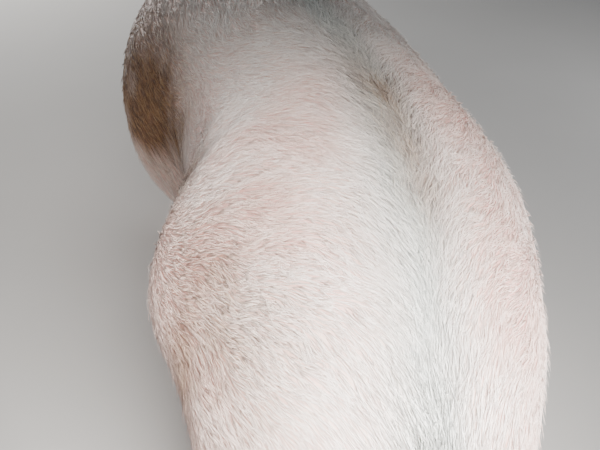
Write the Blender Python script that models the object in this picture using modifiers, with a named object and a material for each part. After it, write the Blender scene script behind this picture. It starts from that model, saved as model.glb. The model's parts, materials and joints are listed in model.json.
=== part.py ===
"""A life-size standing domestic pig of a large white breed, as a still museum model.

Metres, +Z up. The floor is z = 0, the head looks along +Y and the pig's right side is at +X.
The flesh is lofted from named sections, fused and smoothed into one form, and then parted
with thin cuts into head, snout, neck, torso and legs. Ears, eyes, tail and claws are their own pieces.
"""

import math
from collections import namedtuple

import bmesh
import bpy
import numpy as np
from mathutils import Matrix, Vector

# Driving sizes of an adult sow
BACK_HEIGHT = 0.87
TRUNK_LENGTH = 1.29
TRUNK_WIDTH = 0.47
BELLY_HEIGHT = 0.335
HEAD_PITCH = math.radians(33)
HEAD_BASE = Vector((0, 1.476, 0.665))
GAP = 0.0003

# Mesh fineness
VOXEL = 0.005
PLAIN_TRIANGLES = 2500
FINE_TRIANGLES = 2900

# A cross-section of trunk or head: its place along the form, its top and underside, half its width,
# the height where it is widest, how square it is, where 2 is an ellipse, and how far it sways to the right
Section = namedtuple("Section", "at top low half wide square sway", defaults=(0,))
# A level cut through a leg: its height, its centre along and across, half its depth and half its width
Level = namedtuple("Level", "height along out depth half")


def trunk_section(share, top, low, half, wide=0.55, square=2.3, sway=0.0):
    """A trunk section from shares of the driving sizes; wide is a share of the section's own depth."""
    top_height = top * BACK_HEIGHT
    low_height = low * BELLY_HEIGHT
    return Section(
        share * TRUNK_LENGTH,
        top_height,
        low_height,
        half * TRUNK_WIDTH / 2,
        low_height + wide * (top_height - low_height),
        square,
        sway,
    )


TRUNK = (
    trunk_section(0.000, 0.830, 1.80, 0.18, 0.50, 2.0),
    trunk_section(0.020, 0.870, 1.55, 0.34, 0.50, 2.0),
    trunk_section(0.067, 0.920, 1.32, 0.54, 0.50, 2.1),
    trunk_section(0.168, 0.965, 1.18, 0.83, 0.50, 2.3),
    trunk_section(0.290, 0.990, 1.12, 1.06, 0.48, 2.35),
    trunk_section(0.424, 1.000, 1.06, 0.92, 0.46, 2.3, 0.018),
    trunk_section(0.554, 1.000, 0.99, 0.98, 0.44, 2.25, 0.008),
    trunk_section(0.684, 0.993, 0.96, 1.15, 0.44, 2.25, -0.036),
    trunk_section(0.814, 0.985, 1.00, 1.08, 0.46, 2.3, -0.022),
    trunk_section(0.916, 0.978, 1.06, 0.95, 0.48, 2.3, -0.006),
    trunk_section(1.000, 0.965, 1.16, 0.84, 0.50, 2.2),
    trunk_section(1.074, 0.945, 1.28, 0.73, 0.50, 2.1),
    trunk_section(1.167, 0.895, 1.48, 0.55, 0.50, 2.0),
)

# The skull with its muzzle and snout disc, in the head's own frame: +Y along the face, z = 0 its axis
SKULL = (
    Section(-0.080, 0.090, -0.120, 0.108, -0.020, 2.0),
    Section(-0.040, 0.120, -0.150, 0.128, -0.030, 2.1),
    Section(0.005, 0.130, -0.165, 0.137, -0.040, 2.2),
    Section(0.050, 0.124, -0.165, 0.134, -0.040, 2.3),
    Section(0.095, 0.106, -0.148, 0.118, -0.030, 2.3),
    Section(0.140, 0.084, -0.122, 0.099, -0.020, 2.3),
    Section(0.190, 0.068, -0.096, 0.084, -0.012, 2.35),
    Section(0.240, 0.061, -0.076, 0.074, -0.008, 2.35),
    Section(0.285, 0.058, -0.064, 0.067, -0.003, 2.3),
    Section(0.316, 0.057, -0.057, 0.063, 0.000, 2.2),
    Section(0.334, 0.064, -0.059, 0.070, 0.002, 2.2),
    Section(0.348, 0.067, -0.060, 0.073, 0.003, 2.2),
    Section(0.357, 0.061, -0.054, 0.067, 0.003, 2.2),
    Section(0.360, 0.036, -0.030, 0.040, 0.003, 2.0),
)

# The lower jaw from jowl to chin, in the head's frame
JAW = (
    Section(-0.060, 0.000, -0.170, 0.100, -0.090, 2.0),
    Section(0.000, 0.000, -0.195, 0.120, -0.100, 2.1),
    Section(0.060, 0.000, -0.192, 0.118, -0.095, 2.1),
    Section(0.120, 0.000, -0.170, 0.098, -0.085, 2.1),
    Section(0.180, 0.000, -0.143, 0.078, -0.075, 2.1),
    Section(0.240, 0.000, -0.118, 0.062, -0.068, 2.1),
    Section(0.285, 0.000, -0.100, 0.050, -0.062, 2.1),
    Section(0.312, -0.020, -0.084, 0.036, -0.056, 2.0),
)

FRONT_LEG = (
    Level(0.680, 1.091, 0.120, 0.080, 0.050),
    Level(0.600, 1.091, 0.134, 0.135, 0.084),
    Level(0.500, 1.081, 0.142, 0.140, 0.086),
    Level(0.410, 1.066, 0.140, 0.104, 0.072),
    Level(0.340, 1.059, 0.134, 0.075, 0.056),
    Level(0.275, 1.063, 0.130, 0.054, 0.046),
    Level(0.220, 1.070, 0.128, 0.046, 0.043),
    Level(0.168, 1.069, 0.126, 0.037, 0.035),
    Level(0.120, 1.067, 0.126, 0.036, 0.035),
    Level(0.088, 1.071, 0.126, 0.039, 0.037),
    Level(0.055, 1.083, 0.126, 0.037, 0.038),
    Level(0.008, 1.097, 0.126, 0.042, 0.044),
)

HIND_LEG = (
    Level(0.790, 0.240, 0.080, 0.125, 0.060),
    Level(0.730, 0.231, 0.095, 0.170, 0.085),
    Level(0.660, 0.219, 0.103, 0.200, 0.100),
    Level(0.580, 0.209, 0.107, 0.212, 0.106),
    Level(0.500, 0.202, 0.110, 0.205, 0.106),
    Level(0.430, 0.188, 0.114, 0.172, 0.096),
    Level(0.370, 0.154, 0.119, 0.122, 0.074),
    Level(0.325, 0.120, 0.122, 0.086, 0.055),
    Level(0.288, 0.101, 0.124, 0.068, 0.046),
    Level(0.245, 0.096, 0.124, 0.051, 0.040),
    Level(0.190, 0.105, 0.125, 0.040, 0.036),
    Level(0.130, 0.118, 0.126, 0.037, 0.035),
    Level(0.090, 0.128, 0.126, 0.040, 0.037),
    Level(0.055, 0.143, 0.126, 0.038, 0.038),
    Level(0.008, 0.161, 0.126, 0.042, 0.044),
)

# How much wider a leg's top is ahead of its middle than behind it, and between which heights it gets fleshy
HAM_TAPER = {"front": 0.0, "hind": 0.30}
FLESHY = (0.42, 0.60)

# The hindquarters taper and sway to the left towards the tail, above the legs
CROUP_TAPER = 0.28
CROUP_TAPERED = (-0.05, 0.22)
CROUP_SWAY = -0.024
CROUP_SWAYED = (0.08, 0.26)
CROUP_ABOVE = (0.40, 0.60)
# The left ham carries more weight and swells; before both hams the flank falls in
HAM_MIDDLE = (0.282, 0.675)
HAM_SPREAD = (0.100, 0.105)
HAM_SWELL = 0.028
FLANK_MIDDLE = (0.755, 0.530)
FLANK_SPREAD = (0.090, 0.095)
FLANK_DEPTH = 0.042
FLANK_SIDE = (0.07, 0.16)

# How far each foot is set forward of the square stance, and between which heights that reaches the leg's foot
STEPPED = (0.50, 0.10)
STEP = {"front_left": 0.035, "front_right": -0.030, "hind_left": -0.020, "hind_right": 0.030}
SIDE = {"left": -1, "right": 1}

# Where the body is parted: outlines of the shoulder and ham seen from the side, and planes
LEG_CUT = {
    "front": {"back": 0.946, "front": 1.226, "top": 0.610, "round": 0.130, "inner": 0.055},
    "hind": {"back": -0.300, "front": 0.450, "top": 0.700, "round": 0.250, "inner": 0.045},
}
CUT_DEPTH = 0.40
NECK_CUT = (Vector((0, 1.266, 0.60)), Vector((0, 0.98, 0.20)))
HEAD_CUT = (Vector((0, 1.476, 0.665)), Vector((0, 0.95, -0.31)))
SNOUT_CUT = 0.322

# Feet
CORONET_HEIGHT = 0.036
CORONET_SLOPE = 0.30
CLAW_LENGTH = 0.080
CLAW_WIDTH = 0.039
CLAW_SPREAD = 0.0222
CLAW_LEAN = 0.016
CLAW_SIDES = 16
CLEFT_RADII = (0.0035, 0.030, 0.034)
DEWCLAW_HEIGHT = 0.080
DEWCLAW_LENGTH = 0.046
DEWCLAW_RADIUS = 0.0125
DEWCLAW_SPREAD = 0.0235

# Face, in the head's frame
EYE_RADIUS = 0.0125
EYE_DEPTH = 0.0085
EYE_PLACE = Vector((0.090, 0.118, 0.046))
EYE_LOOK = Vector((0.84, 0.40, 0.28))
EYE_SLANT = Vector((-0.20, 1.00, -0.22))
LID_RADII = (0.0155, 0.0185, 0.0150)
LID_OPENING = (0.020, 0.0112, 0.0062)
NOSTRIL_PLACE = Vector((0.024, 0.362, 0.008))
NOSTRIL_RADII = (0.0085, 0.0170, 0.0110)
MOUTH_RADIUS = 0.0028
MOUTH = (
    Vector((0.100, 0.158, -0.086)),
    Vector((0.092, 0.180, -0.091)),
    Vector((0.080, 0.215, -0.086)),
    Vector((0.068, 0.255, -0.076)),
    Vector((0.056, 0.285, -0.069)),
    Vector((0.038, 0.308, -0.066)),
    Vector((0.016, 0.320, -0.067)),
)

# Ears: leaves rolled into a cup at the root
EAR_PLACE = Vector((0.078, -0.012, 0.080))
EAR_AXIS = Vector((0.56, -0.22, 0.80))
EAR_LOOK = Vector((0.36, 0.86, 0.10))
EAR_LENGTH = 0.215
EAR_WIDTH = 0.165
EAR_THICKNESS = 0.0055
EAR_ROOT = 0.16
EAR_ROLL = math.radians(84)
EAR_OPEN = math.radians(24)
EAR_LEAN = 0.035

# Tail: it leaves the croup, hangs, makes one loose loop and ends in a tassel
TAIL_ROOT = (
    Vector((-0.024, 0.090, 0.752)),
    Vector((-0.024, 0.036, 0.748)),
    Vector((-0.024, -0.010, 0.735)),
    Vector((-0.024, -0.032, 0.708)),
    Vector((-0.024, -0.038, 0.672)),
)
TAIL_LOOP = 0.028
TAIL_DRIFT = 0.032
TAIL_FALL = 0.030
TAIL_END = (Vector((0.012, -0.046, 0.610)), Vector((0.013, -0.050, 0.575)), Vector((0.012, -0.052, 0.548)))
TAIL_RADII = (0.0185, 0.0060)
TAIL_RINGS = 34
TAIL_SIDES = 9
TAIL_NODES = {"tail_root": (0.00, 0.36), "tail_loop": (0.36, 0.78), "tail_tip": (0.78, 1.00)}
TASSEL_LOCKS = 11
TASSEL_LENGTH = 0.085
TASSEL_WIDTH = 0.0095
TASSEL_SPREAD = 0.016
TASSEL_REACH = 5.0

# Teats in two rows
TEAT_PAIRS = 7
TEAT_FROM = 0.48
TEAT_SPACING = 0.073
TEAT_SPREAD = 0.068
TEAT_RADIUS = 0.0085
TEAT_LENGTH = 0.018

# Locks of the bristly coat: rows over the back and sides, each lock rooted ahead and lying backwards
COAT_AXIS = 0.60
COAT_ROWS = 6
COAT_SPREAD = {"croup": math.radians(34), "back": math.radians(66)}
COAT_CROUP_END = (0.44, 0.64)
COAT_STATIONS = {"torso": (0.330, 1.221, 8), "neck": (1.473, 1.473, 1)}
COAT_SLOPE = 0.050
COAT_STAGGER = 0.055
COAT_LENGTH = {"torso": 0.145, "neck": 0.115}
COAT_WIDTH = 0.046
COAT_THIN = 0.13
COAT_SHARES = (0.0, 0.24, 0.64, 1.0)
COAT_LIFT = (-0.010, 0.0020, 0.0040, 0.0060)
COAT_TAPER = (0.70, 1.00, 0.78, 0.10)
COAT_GATHER = 0.22

COLOURS = {
    "skin": ("E3BDB0", 0.55),
    "snout_skin": ("D9A59B", 0.40),
    "ear_skin": ("E2B3A6", 0.55),
    "tail_skin": ("E0B7AA", 0.55),
    "horn": ("B9A184", 0.45),
    "eye": ("2A1B14", 0.08),
}


def clear_scene():
    for obj in list(bpy.data.objects):
        bpy.data.objects.remove(obj, do_unlink=True)


def collection(name, shown=True):
    made = bpy.data.collections.new(name)
    bpy.context.scene.collection.children.link(made)
    made.hide_render = not shown
    return made


def material(name):
    """A Principled material from its sRGB hex colour and roughness."""
    hex_colour, roughness = COLOURS[name]
    parts = [int(hex_colour[i : i + 2], 16) / 255 for i in (0, 2, 4)]
    linear = [p / 12.92 if p < 0.04045 else ((p + 0.055) / 1.055) ** 2.4 for p in parts]
    made = bpy.data.materials.new(name)
    made.use_nodes = True
    shader = made.node_tree.nodes["Principled BSDF"]
    shader.inputs["Base Color"].default_value = (*linear, 1)
    shader.inputs["Roughness"].default_value = roughness
    shader.inputs["Metallic"].default_value = 0
    return made


def add_object(name, mesh, home):
    obj = bpy.data.objects.new(name, mesh)
    home.objects.link(obj)
    return obj


def remove(obj):
    bpy.data.objects.remove(obj, do_unlink=True)


def apply_modifiers(obj):
    """Replaces the object's mesh by what its modifiers make of it."""
    bpy.context.view_layer.update()
    graph = bpy.context.evaluated_depsgraph_get()
    mesh = bpy.data.meshes.new_from_object(obj.evaluated_get(graph))
    obj.modifiers.clear()
    old, obj.data = obj.data, mesh
    bpy.data.meshes.remove(old)


def boolean(obj, other, operation, solver="EXACT"):
    """Cuts, joins or intersects the object with the other one, which is then removed."""
    change = obj.modifiers.new(operation.lower(), "BOOLEAN")
    change.operation = operation
    change.solver = solver
    change.object = other
    apply_modifiers(obj)
    remove(other)


def copy_of(obj, name, home):
    return add_object(name, obj.data.copy(), home)


def swollen(obj, name, home, by=GAP):
    """A closed copy whose surface lies a little further out."""
    made = copy_of(obj, name, home)
    points = np.empty(len(made.data.vertices) * 3, np.float32)
    normals = np.empty_like(points)
    made.data.vertices.foreach_get("co", points)
    made.data.vertex_normals.foreach_get("vector", normals)
    made.data.vertices.foreach_set("co", points + by * normals)
    made.data.update()
    return made


def keep_largest(obj):
    """Drops all but the largest closed surface."""
    mesh = bmesh.new()
    mesh.from_mesh(obj.data)
    left = set(mesh.faces)
    groups = []
    while left:
        group = {left.pop()}
        edge = list(group)
        while edge:
            near = {f for e in edge.pop().edges for f in e.link_faces} & left
            left -= near
            group |= near
            edge += near
        groups.append(group)
    groups.sort(key=lambda g: sum(f.calc_area() for f in g))
    scraps = [f for g in groups[:-1] for f in g]
    bmesh.ops.delete(mesh, geom=scraps, context="FACES")
    mesh.to_mesh(obj.data)
    mesh.free()


def spline(places, values, at):
    """A smooth curve through the values, by cubic Hermite pieces with averaged slopes."""
    places, values = np.asarray(places, float), np.asarray(values, float)
    rise = np.diff(values) / np.diff(places)
    slope = np.concatenate([rise[:1], (rise[1:] + rise[:-1]) / 2, rise[-1:]])
    i = np.clip(np.searchsorted(places, at) - 1, 0, len(rise) - 1)
    width = places[i + 1] - places[i]
    t = (at - places[i]) / width
    start, end = values[i], values[i + 1]
    return (
        start * (1 + 2 * t) * (1 - t) ** 2
        + end * t * t * (3 - 2 * t)
        + slope[i] * width * t * (1 - t) ** 2
        - slope[i + 1] * width * t * t * (1 - t)
    )


def between(rows, count):
    """The rows' columns, smoothly drawn through count evenly shared places."""
    rows = np.array(rows, float)
    knots = np.arange(len(rows))
    at = np.linspace(0, len(rows) - 1, count)
    return [spline(knots, column, at) for column in rows.T]


def along_path(points, count):
    """A smooth path through the points, as count places evenly far apart."""
    fine = np.stack(between(points, 12 * len(points)), axis=1)
    steps = np.linalg.norm(np.diff(fine, axis=0), axis=1)
    length = np.concatenate([[0], np.cumsum(steps)])
    at = np.linspace(0, length[-1], count)
    return np.stack([np.interp(at, length, column) for column in fine.T], axis=1)


def bulge(value, square):
    return np.sign(value) * np.abs(value) ** (2 / square)


def closed_mesh(name, points, faces):
    """A mesh from points and faces, all of them turned to face outwards."""
    mesh = bpy.data.meshes.new(name)
    mesh.from_pydata(points.tolist(), [], faces)
    turned = bmesh.new()
    turned.from_mesh(mesh)
    bmesh.ops.recalc_face_normals(turned, faces=turned.faces)
    turned.to_mesh(mesh)
    turned.free()
    return mesh


def loft_mesh(name, rings):
    """A closed skin over rings of points, each ring an array of the same length, with flat ends."""
    rings = np.array(rings, float)
    count, sides = rings.shape[:2]
    corner = np.arange(count * sides).reshape(count, sides)
    here, there = corner[:-1], corner[1:]
    quads = np.stack([here, np.roll(here, -1, 1), np.roll(there, -1, 1), there], axis=-1)
    faces = [tuple(q) for q in quads.reshape(-1, 4).tolist()]
    faces += [tuple(corner[0][::-1].tolist()), tuple(corner[-1].tolist())]
    return closed_mesh(name, rings.reshape(-1, 3), faces)


def leaf_mesh(name, outer, inner):
    """A closed leaf between two grids of points, split into triangles alike on both faces."""
    rows, columns = outer.shape[:2]
    corner = np.arange(rows * columns).reshape(rows, columns)
    a, b, c, d = corner[:-1, :-1], corner[:-1, 1:], corner[1:, 1:], corner[1:, :-1]
    front = np.concatenate([np.stack([a, b, c], -1).reshape(-1, 3), np.stack([a, c, d], -1).reshape(-1, 3)])
    back = front[:, ::-1] + rows * columns
    rim = np.concatenate([corner[0, :-1], corner[:-1, -1], corner[-1, :0:-1], corner[:0:-1, 0]])
    following = np.roll(rim, -1)
    below, below_following = rim + rows * columns, following + rows * columns
    edge = np.concatenate(
        [np.stack([rim, below, following], -1), np.stack([following, below, below_following], -1)]
    )
    faces = np.concatenate([front, back, edge]).tolist()
    return closed_mesh(name, np.concatenate([outer.reshape(-1, 3), inner.reshape(-1, 3)]), faces)


def body_rings(sections, count, sides):
    """Rings across +Y: each is a superellipse whose upper and lower halves have their own heights."""
    angle = np.arange(sides) * (2 * math.pi / sides)
    rings = []
    for at, top, low, half, wide, square, sway in zip(*between(sections, count)):
        across = sway + half * bulge(np.cos(angle), square)
        lift = bulge(np.sin(angle), square)
        height = wide + np.where(lift > 0, (top - wide) * lift, (wide - low) * lift)
        rings.append(np.stack([across, np.full(sides, at), height], axis=1))
    return rings


def leg_rings(levels, side, step, taper, count, sides):
    """Level rings down a leg, squarer in the ham and shoulder. The step moves the foot, not the top."""
    angle = np.arange(sides) * (2 * math.pi / sides)
    rings = []
    for height, along, out, depth, half in zip(*between(levels, count)):
        fade = np.clip((height - STEPPED[0]) / (STEPPED[1] - STEPPED[0]), 0, 1)
        flesh_share = ramp(height, *FLESHY)
        square = 2.1 + 0.4 * flesh_share
        half = half * (1 + taper * flesh_share * np.sin(angle))
        x = side * out + half * bulge(np.cos(angle), square)
        y = along + step * fade + depth * bulge(np.sin(angle), square)
        rings.append(np.stack([x, y, np.full(sides, height)], axis=1))
    return rings


def tube_rings(path, radii, sides, flat=1.0, facing=None):
    """Rings square to a path. The second radius is flat times the first, measured along facing."""
    path, radii = np.array(path, float), np.asarray(radii, float)
    ahead = np.gradient(path, axis=0)
    ahead /= np.linalg.norm(ahead, axis=1, keepdims=True)
    guide = np.array(facing if facing is not None else (1.0, 0.0, 0.0))
    angle = np.arange(sides) * (2 * math.pi / sides)
    rings = []
    for centre, forward, radius in zip(path, ahead, radii):
        guide = guide - forward * guide.dot(forward)
        guide /= np.linalg.norm(guide)
        across = np.cross(forward, guide)
        offset = np.outer(np.cos(angle), across) + flat * np.outer(np.sin(angle), guide)
        rings.append(centre + radius * offset)
    return rings


def ellipsoid(name, home, centre, axes, radii, segments=12):
    """A sphere stretched along three axes."""
    mesh = bpy.data.meshes.new(name)
    ball = bmesh.new()
    bmesh.ops.create_uvsphere(ball, u_segments=segments, v_segments=segments * 3 // 4, radius=1)
    ball.to_mesh(mesh)
    ball.free()
    turn = Matrix([list(axis) for axis in axes]).transposed()
    if turn.determinant() < 0:
        turn.col[2] *= -1
    mesh.transform(Matrix.Translation(centre) @ (turn @ Matrix.Diagonal(radii)).to_4x4())
    return add_object(name, mesh, home)


def slab(name, home, point, normal, size=3.0):
    """A block with one face on the plane through the point, reaching along the normal."""
    mesh = bpy.data.meshes.new(name)
    block = bmesh.new()
    bmesh.ops.create_cube(block, size=size)
    block.to_mesh(mesh)
    block.free()
    turn = Vector(normal).to_track_quat("Z", "Y").to_matrix().to_4x4()
    mesh.transform(Matrix.Translation(point) @ turn @ Matrix.Translation((0, 0, size / 2)))
    return add_object(name, mesh, home)


def head_frame():
    return Matrix.Translation(HEAD_BASE) @ Matrix.Rotation(-HEAD_PITCH, 4, "X")


def in_head(place, side=1):
    """A point of the head's frame, on the right side or mirrored to the left, in the world."""
    return head_frame() @ Vector((side * place.x, place.y, place.z))


def head_direction(direction, side=1):
    turned = Vector((side * direction.x, direction.y, direction.z))
    return (head_frame().to_3x3() @ turned).normalized()


def leg_parts():
    for pair, levels in (("front", FRONT_LEG), ("hind", HIND_LEG)):
        for name, side in SIDE.items():
            yield pair, name, levels, side, STEP[f"{pair}_{name}"]


def croup_across(place):
    """Where a place of the square-built body lies across it once the hindquarters taper and sway."""
    above = ramp(place.z, *CROUP_ABOVE)
    taper = CROUP_TAPER * above * (1 - ramp(place.y, *CROUP_TAPERED))
    sway = CROUP_SWAY * above * (1 - ramp(place.y, *CROUP_SWAYED))
    return place.x * (1 - taper) + sway


def bell(place, middle, spread):
    """1 at a middle place along and up the body, falling off smoothly round it."""
    return np.exp(-(((place.y - middle[0]) / spread[0]) ** 2) - ((place.z - middle[1]) / spread[1]) ** 2)


def sideways(place):
    """How far a place of the sides is pushed out or drawn in: the left ham out, both flanks in."""
    side = np.sign(place.x) * ramp(abs(place.x), *FLANK_SIDE)
    swell = HAM_SWELL * bell(place, HAM_MIDDLE, HAM_SPREAD) * (place.x < 0)
    return side * (swell - FLANK_DEPTH * bell(place, FLANK_MIDDLE, FLANK_SPREAD))


def flesh(home):
    """Trunk, skull, jaw and legs fused by a voxel remesh, softened where they meet, and thinned out."""
    meshes = [loft_mesh("trunk", body_rings(TRUNK, 60, 48))]
    for name, sections in (("skull", SKULL), ("jaw", JAW)):
        mesh = loft_mesh(name, body_rings(sections, 60, 48))
        mesh.transform(head_frame())
        meshes.append(mesh)
    for pair, name, levels, side, step in leg_parts():
        rings = leg_rings(levels, side, step, HAM_TAPER[pair], 50, 32)
        meshes.append(loft_mesh(f"{pair}_{name}", rings))
    joined = bmesh.new()
    for mesh in meshes:
        joined.from_mesh(mesh)
        bpy.data.meshes.remove(mesh)
    for vert in joined.verts:
        vert.co.x = croup_across(vert.co)
        vert.co.x += sideways(vert.co)
    mesh = bpy.data.meshes.new("flesh")
    joined.to_mesh(mesh)
    joined.free()
    body = add_object("flesh", mesh, home)
    remesh = body.modifiers.new("fuse", "REMESH")
    remesh.mode = "VOXEL"
    remesh.voxel_size = VOXEL
    apply_modifiers(body)
    weigh(body)
    soften(body, "soft", 70)
    soften(body, "", 4)
    thin_out(body, False, PLAIN_TRIANGLES)
    thin_out(body, True, FINE_TRIANGLES)
    body.vertex_groups.clear()
    return body


def ramp(value, start, end):
    """0 before start, 1 after end, smooth between them."""
    t = np.clip((value - start) / (end - start), 0, 1)
    return t * t * (3 - 2 * t)


def weigh(body):
    """Vertex groups: soft for what is smoothed most, fine for the head and feet, which keep most faces."""
    points = np.empty(len(body.data.vertices) * 3, np.float32)
    body.data.vertices.foreach_get("co", points)
    y, z = points.reshape(-1, 3).T[1:]
    face = ramp(y, HEAD_BASE.y + 0.05, HEAD_BASE.y + 0.12)
    soft = (1 - face) * (0.06 + 0.94 * ramp(z, 0.22, 0.42)) + face * 0.10
    fine = ((y > HEAD_BASE.y - 0.02) | (z < 0.30)).astype(float)
    for name, weights in (("soft", soft), ("fine", fine)):
        group = body.vertex_groups.new(name=name)
        for level in range(11):
            chosen = np.flatnonzero(np.round(weights * 10) == level).tolist()
            group.add(chosen, level / 10, "REPLACE")


def soften(body, group, times):
    smooth = body.modifiers.new("soften", "SMOOTH")
    smooth.factor = 0.5
    smooth.iterations = times
    smooth.vertex_group = group
    apply_modifiers(body)


def thin_out(body, fine, target):
    """Collapses edges inside or outside the fine group until that part has the target number of faces."""
    group = body.vertex_groups["fine"].index
    mesh = body.data
    mesh.calc_loop_triangles()
    weight = np.array([sum(g.weight for g in v.groups if g.group == group) for v in mesh.vertices])
    corners = np.empty(len(mesh.loop_triangles) * 3, np.int32)
    mesh.loop_triangles.foreach_get("vertices", corners)
    inside = (weight[corners.reshape(-1, 3)] > 0.5).all(axis=1) == fine
    others = len(inside) - np.count_nonzero(inside)
    decimate = body.modifiers.new("thin", "DECIMATE")
    decimate.ratio = (others + target) / len(inside)
    decimate.vertex_group = "fine"
    decimate.vertex_group_factor = 1
    decimate.invert_vertex_group = not fine
    decimate.use_collapse_triangulate = True
    apply_modifiers(body)


def eyes(body, home, cutters):
    """Each eye sinks into a socket behind an almond opening between two lids."""
    for name, side in SIDE.items():
        look = head_direction(EYE_LOOK, side)
        slant = head_direction(EYE_SLANT, side)
        slant = (slant - look * slant.dot(look)).normalized()
        axes = (look, slant, look.cross(slant))
        start = in_head(EYE_PLACE, side) + look * 0.1
        surface = body.ray_cast(start, -look)[1]
        centre = surface - look * EYE_DEPTH
        boolean(body, ellipsoid("lids", cutters, centre, axes, LID_RADII), "UNION")
        opening = centre + look * EYE_RADIUS
        boolean(body, ellipsoid("opening", cutters, opening, axes, LID_OPENING), "DIFFERENCE")
        socket = [EYE_RADIUS + GAP] * 3
        boolean(body, ellipsoid("socket", cutters, centre, axes, socket), "DIFFERENCE")
        ellipsoid(f"eye_{name}", home, centre, axes, [EYE_RADIUS] * 3)


def nostrils(body, cutters):
    for side in SIDE.values():
        axes = (head_direction(Vector((1, 0, 0.25)), side), head_direction(Vector((0, 1, 0))), None)
        axes = (*axes[:2], axes[0].cross(axes[1]))
        centre = in_head(NOSTRIL_PLACE, side)
        boolean(body, ellipsoid("nostril", cutters, centre, axes, NOSTRIL_RADII), "DIFFERENCE")


def mouth(body, cutters):
    """The line of the mouth: a groove laid on the surface from one corner round the front to the other."""
    right = [in_head(place) for place in MOUTH]
    left = [in_head(place, -1) for place in reversed(MOUTH)]
    laid = [body.closest_point_on_mesh(place)[1] for place in right + left]
    path = along_path([list(place) for place in laid], 29)
    radii = MOUTH_RADIUS * (0.35 + 0.65 * np.sin(np.linspace(0, math.pi, len(path))) ** 0.4)
    groove = add_object("groove", loft_mesh("groove", tube_rings(path, radii, 6, 1, (0, 0, 1))), cutters)
    boolean(body, groove, "DIFFERENCE")


def teats(body, cutters):
    """Two rows under the belly, each teat rooted in it and a little tapered."""
    for pair in range(TEAT_PAIRS):
        for side in SIDE.values():
            below = Vector((side * TEAT_SPREAD, TEAT_FROM + pair * TEAT_SPACING, 0.1))
            skin = body.ray_cast(below, Vector((0, 0, 1)))[1]
            depths = np.array([-1.0, -0.2, 0.5, 0.85, 1.0]) * TEAT_LENGTH
            path = [(skin.x, skin.y, skin.z - depth) for depth in depths]
            radii = TEAT_RADIUS * np.array([1.5, 1.35, 0.9, 0.75, 0.4])
            teat = add_object("teat", loft_mesh("teat", tube_rings(path, radii, 7)), cutters)
            boolean(body, teat, "UNION")


def ears(hull, home, cutters):
    """Each ear is a leaf that widens, then narrows to its tip, rolled into a cup towards its root."""
    rows, columns = 12, 11
    v = np.linspace(-EAR_ROOT, 0.985, rows)[:, None, None]
    u = np.linspace(-1, 1, columns)[None, :, None]
    length = np.clip(v, 0, 1)
    half = EAR_WIDTH / 2 * np.sin(math.pi * (0.30 + 0.70 * length)) ** 0.8
    turn = EAR_ROLL * (1 - length) ** 1.4 + EAR_OPEN
    angle = u * turn
    thick = EAR_THICKNESS * (1 - 0.45 * length) * (1 - 0.45 * u**2) / 2
    for name, side in SIDE.items():
        axis = np.array(head_direction(EAR_AXIS, side))
        look = np.array(head_direction(EAR_LOOK, side))
        look = look - axis * look.dot(axis)
        look /= np.linalg.norm(look)
        across = np.cross(axis, look)
        middle = (
            np.array(in_head(EAR_PLACE, side))
            + axis * EAR_LENGTH * v
            + across * (half / turn) * np.sin(angle)
            + look * ((half / turn) * (1 - np.cos(angle)) + EAR_LEAN * length**2)
        )
        out = across * np.sin(angle) - look * np.cos(angle)
        ear = add_object(f"ear_{name}", leaf_mesh("ear", middle + out * thick, middle - out * thick), home)
        boolean(ear, copy_of(hull, "skull_clear", cutters), "DIFFERENCE")
        keep_largest(ear)


def tail_path():
    """Points down the tail: its root, a full turn of a loop that drifts to one side, and its end."""
    start = TAIL_ROOT[-1]
    loop = []
    for step in range(1, 9):
        turn = 2 * math.pi * step / 8
        back = TAIL_LOOP * (math.cos(turn) - 1)
        down = -TAIL_LOOP * math.sin(turn) - TAIL_FALL * step / 8
        loop.append(start + Vector((TAIL_DRIFT * step / 8, back, down)))
    return [list(p) for p in (*TAIL_ROOT, *loop, *TAIL_END)]


def at_shares(values, shares):
    """Values given evenly from 0 to 1, read at other shares."""
    place = np.clip(np.asarray(shares) * (len(values) - 1), 0, len(values) - 1 - 1e-9)
    before = place.astype(int)
    part = (place - before).reshape(-1, *[1] * (values.ndim - 1))
    return values[before] * (1 - part) + values[before + 1] * part


def tail(hull, home, cutters):
    """The tail's lengths, parted by thin gaps, the first cut clear of the croup and the last tasselled."""
    path = along_path(tail_path(), 61)
    share = np.linspace(0, 1, len(path))
    radii = TAIL_RADII[0] + (TAIL_RADII[1] - TAIL_RADII[0]) * share**0.7
    rings = np.array(tube_rings(path, radii, TAIL_SIDES))
    gap = GAP / np.linalg.norm(np.diff(path, axis=0), axis=1).sum()
    for name, (start, end) in TAIL_NODES.items():
        at = np.linspace(start + gap * (start > 0), end, round((end - start) * TAIL_RINGS))
        piece = add_object(name, loft_mesh(name, at_shares(rings, at)), home)
        if name == "tail_root":
            boolean(piece, copy_of(hull, "croup_clear", cutters), "DIFFERENCE")
            keep_largest(piece)
        if name == "tail_tip":
            tassel(piece, at_shares(path, at), at_shares(radii, at), cutters)


def lock_mesh(path, widths, thickness, facing):
    """A flat lock: rings of four points along its path, as wide as widths and much thinner."""
    widths = np.asarray(widths, float)
    return loft_mesh("lock", tube_rings(path, widths / 2, 4, thickness, facing))


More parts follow.
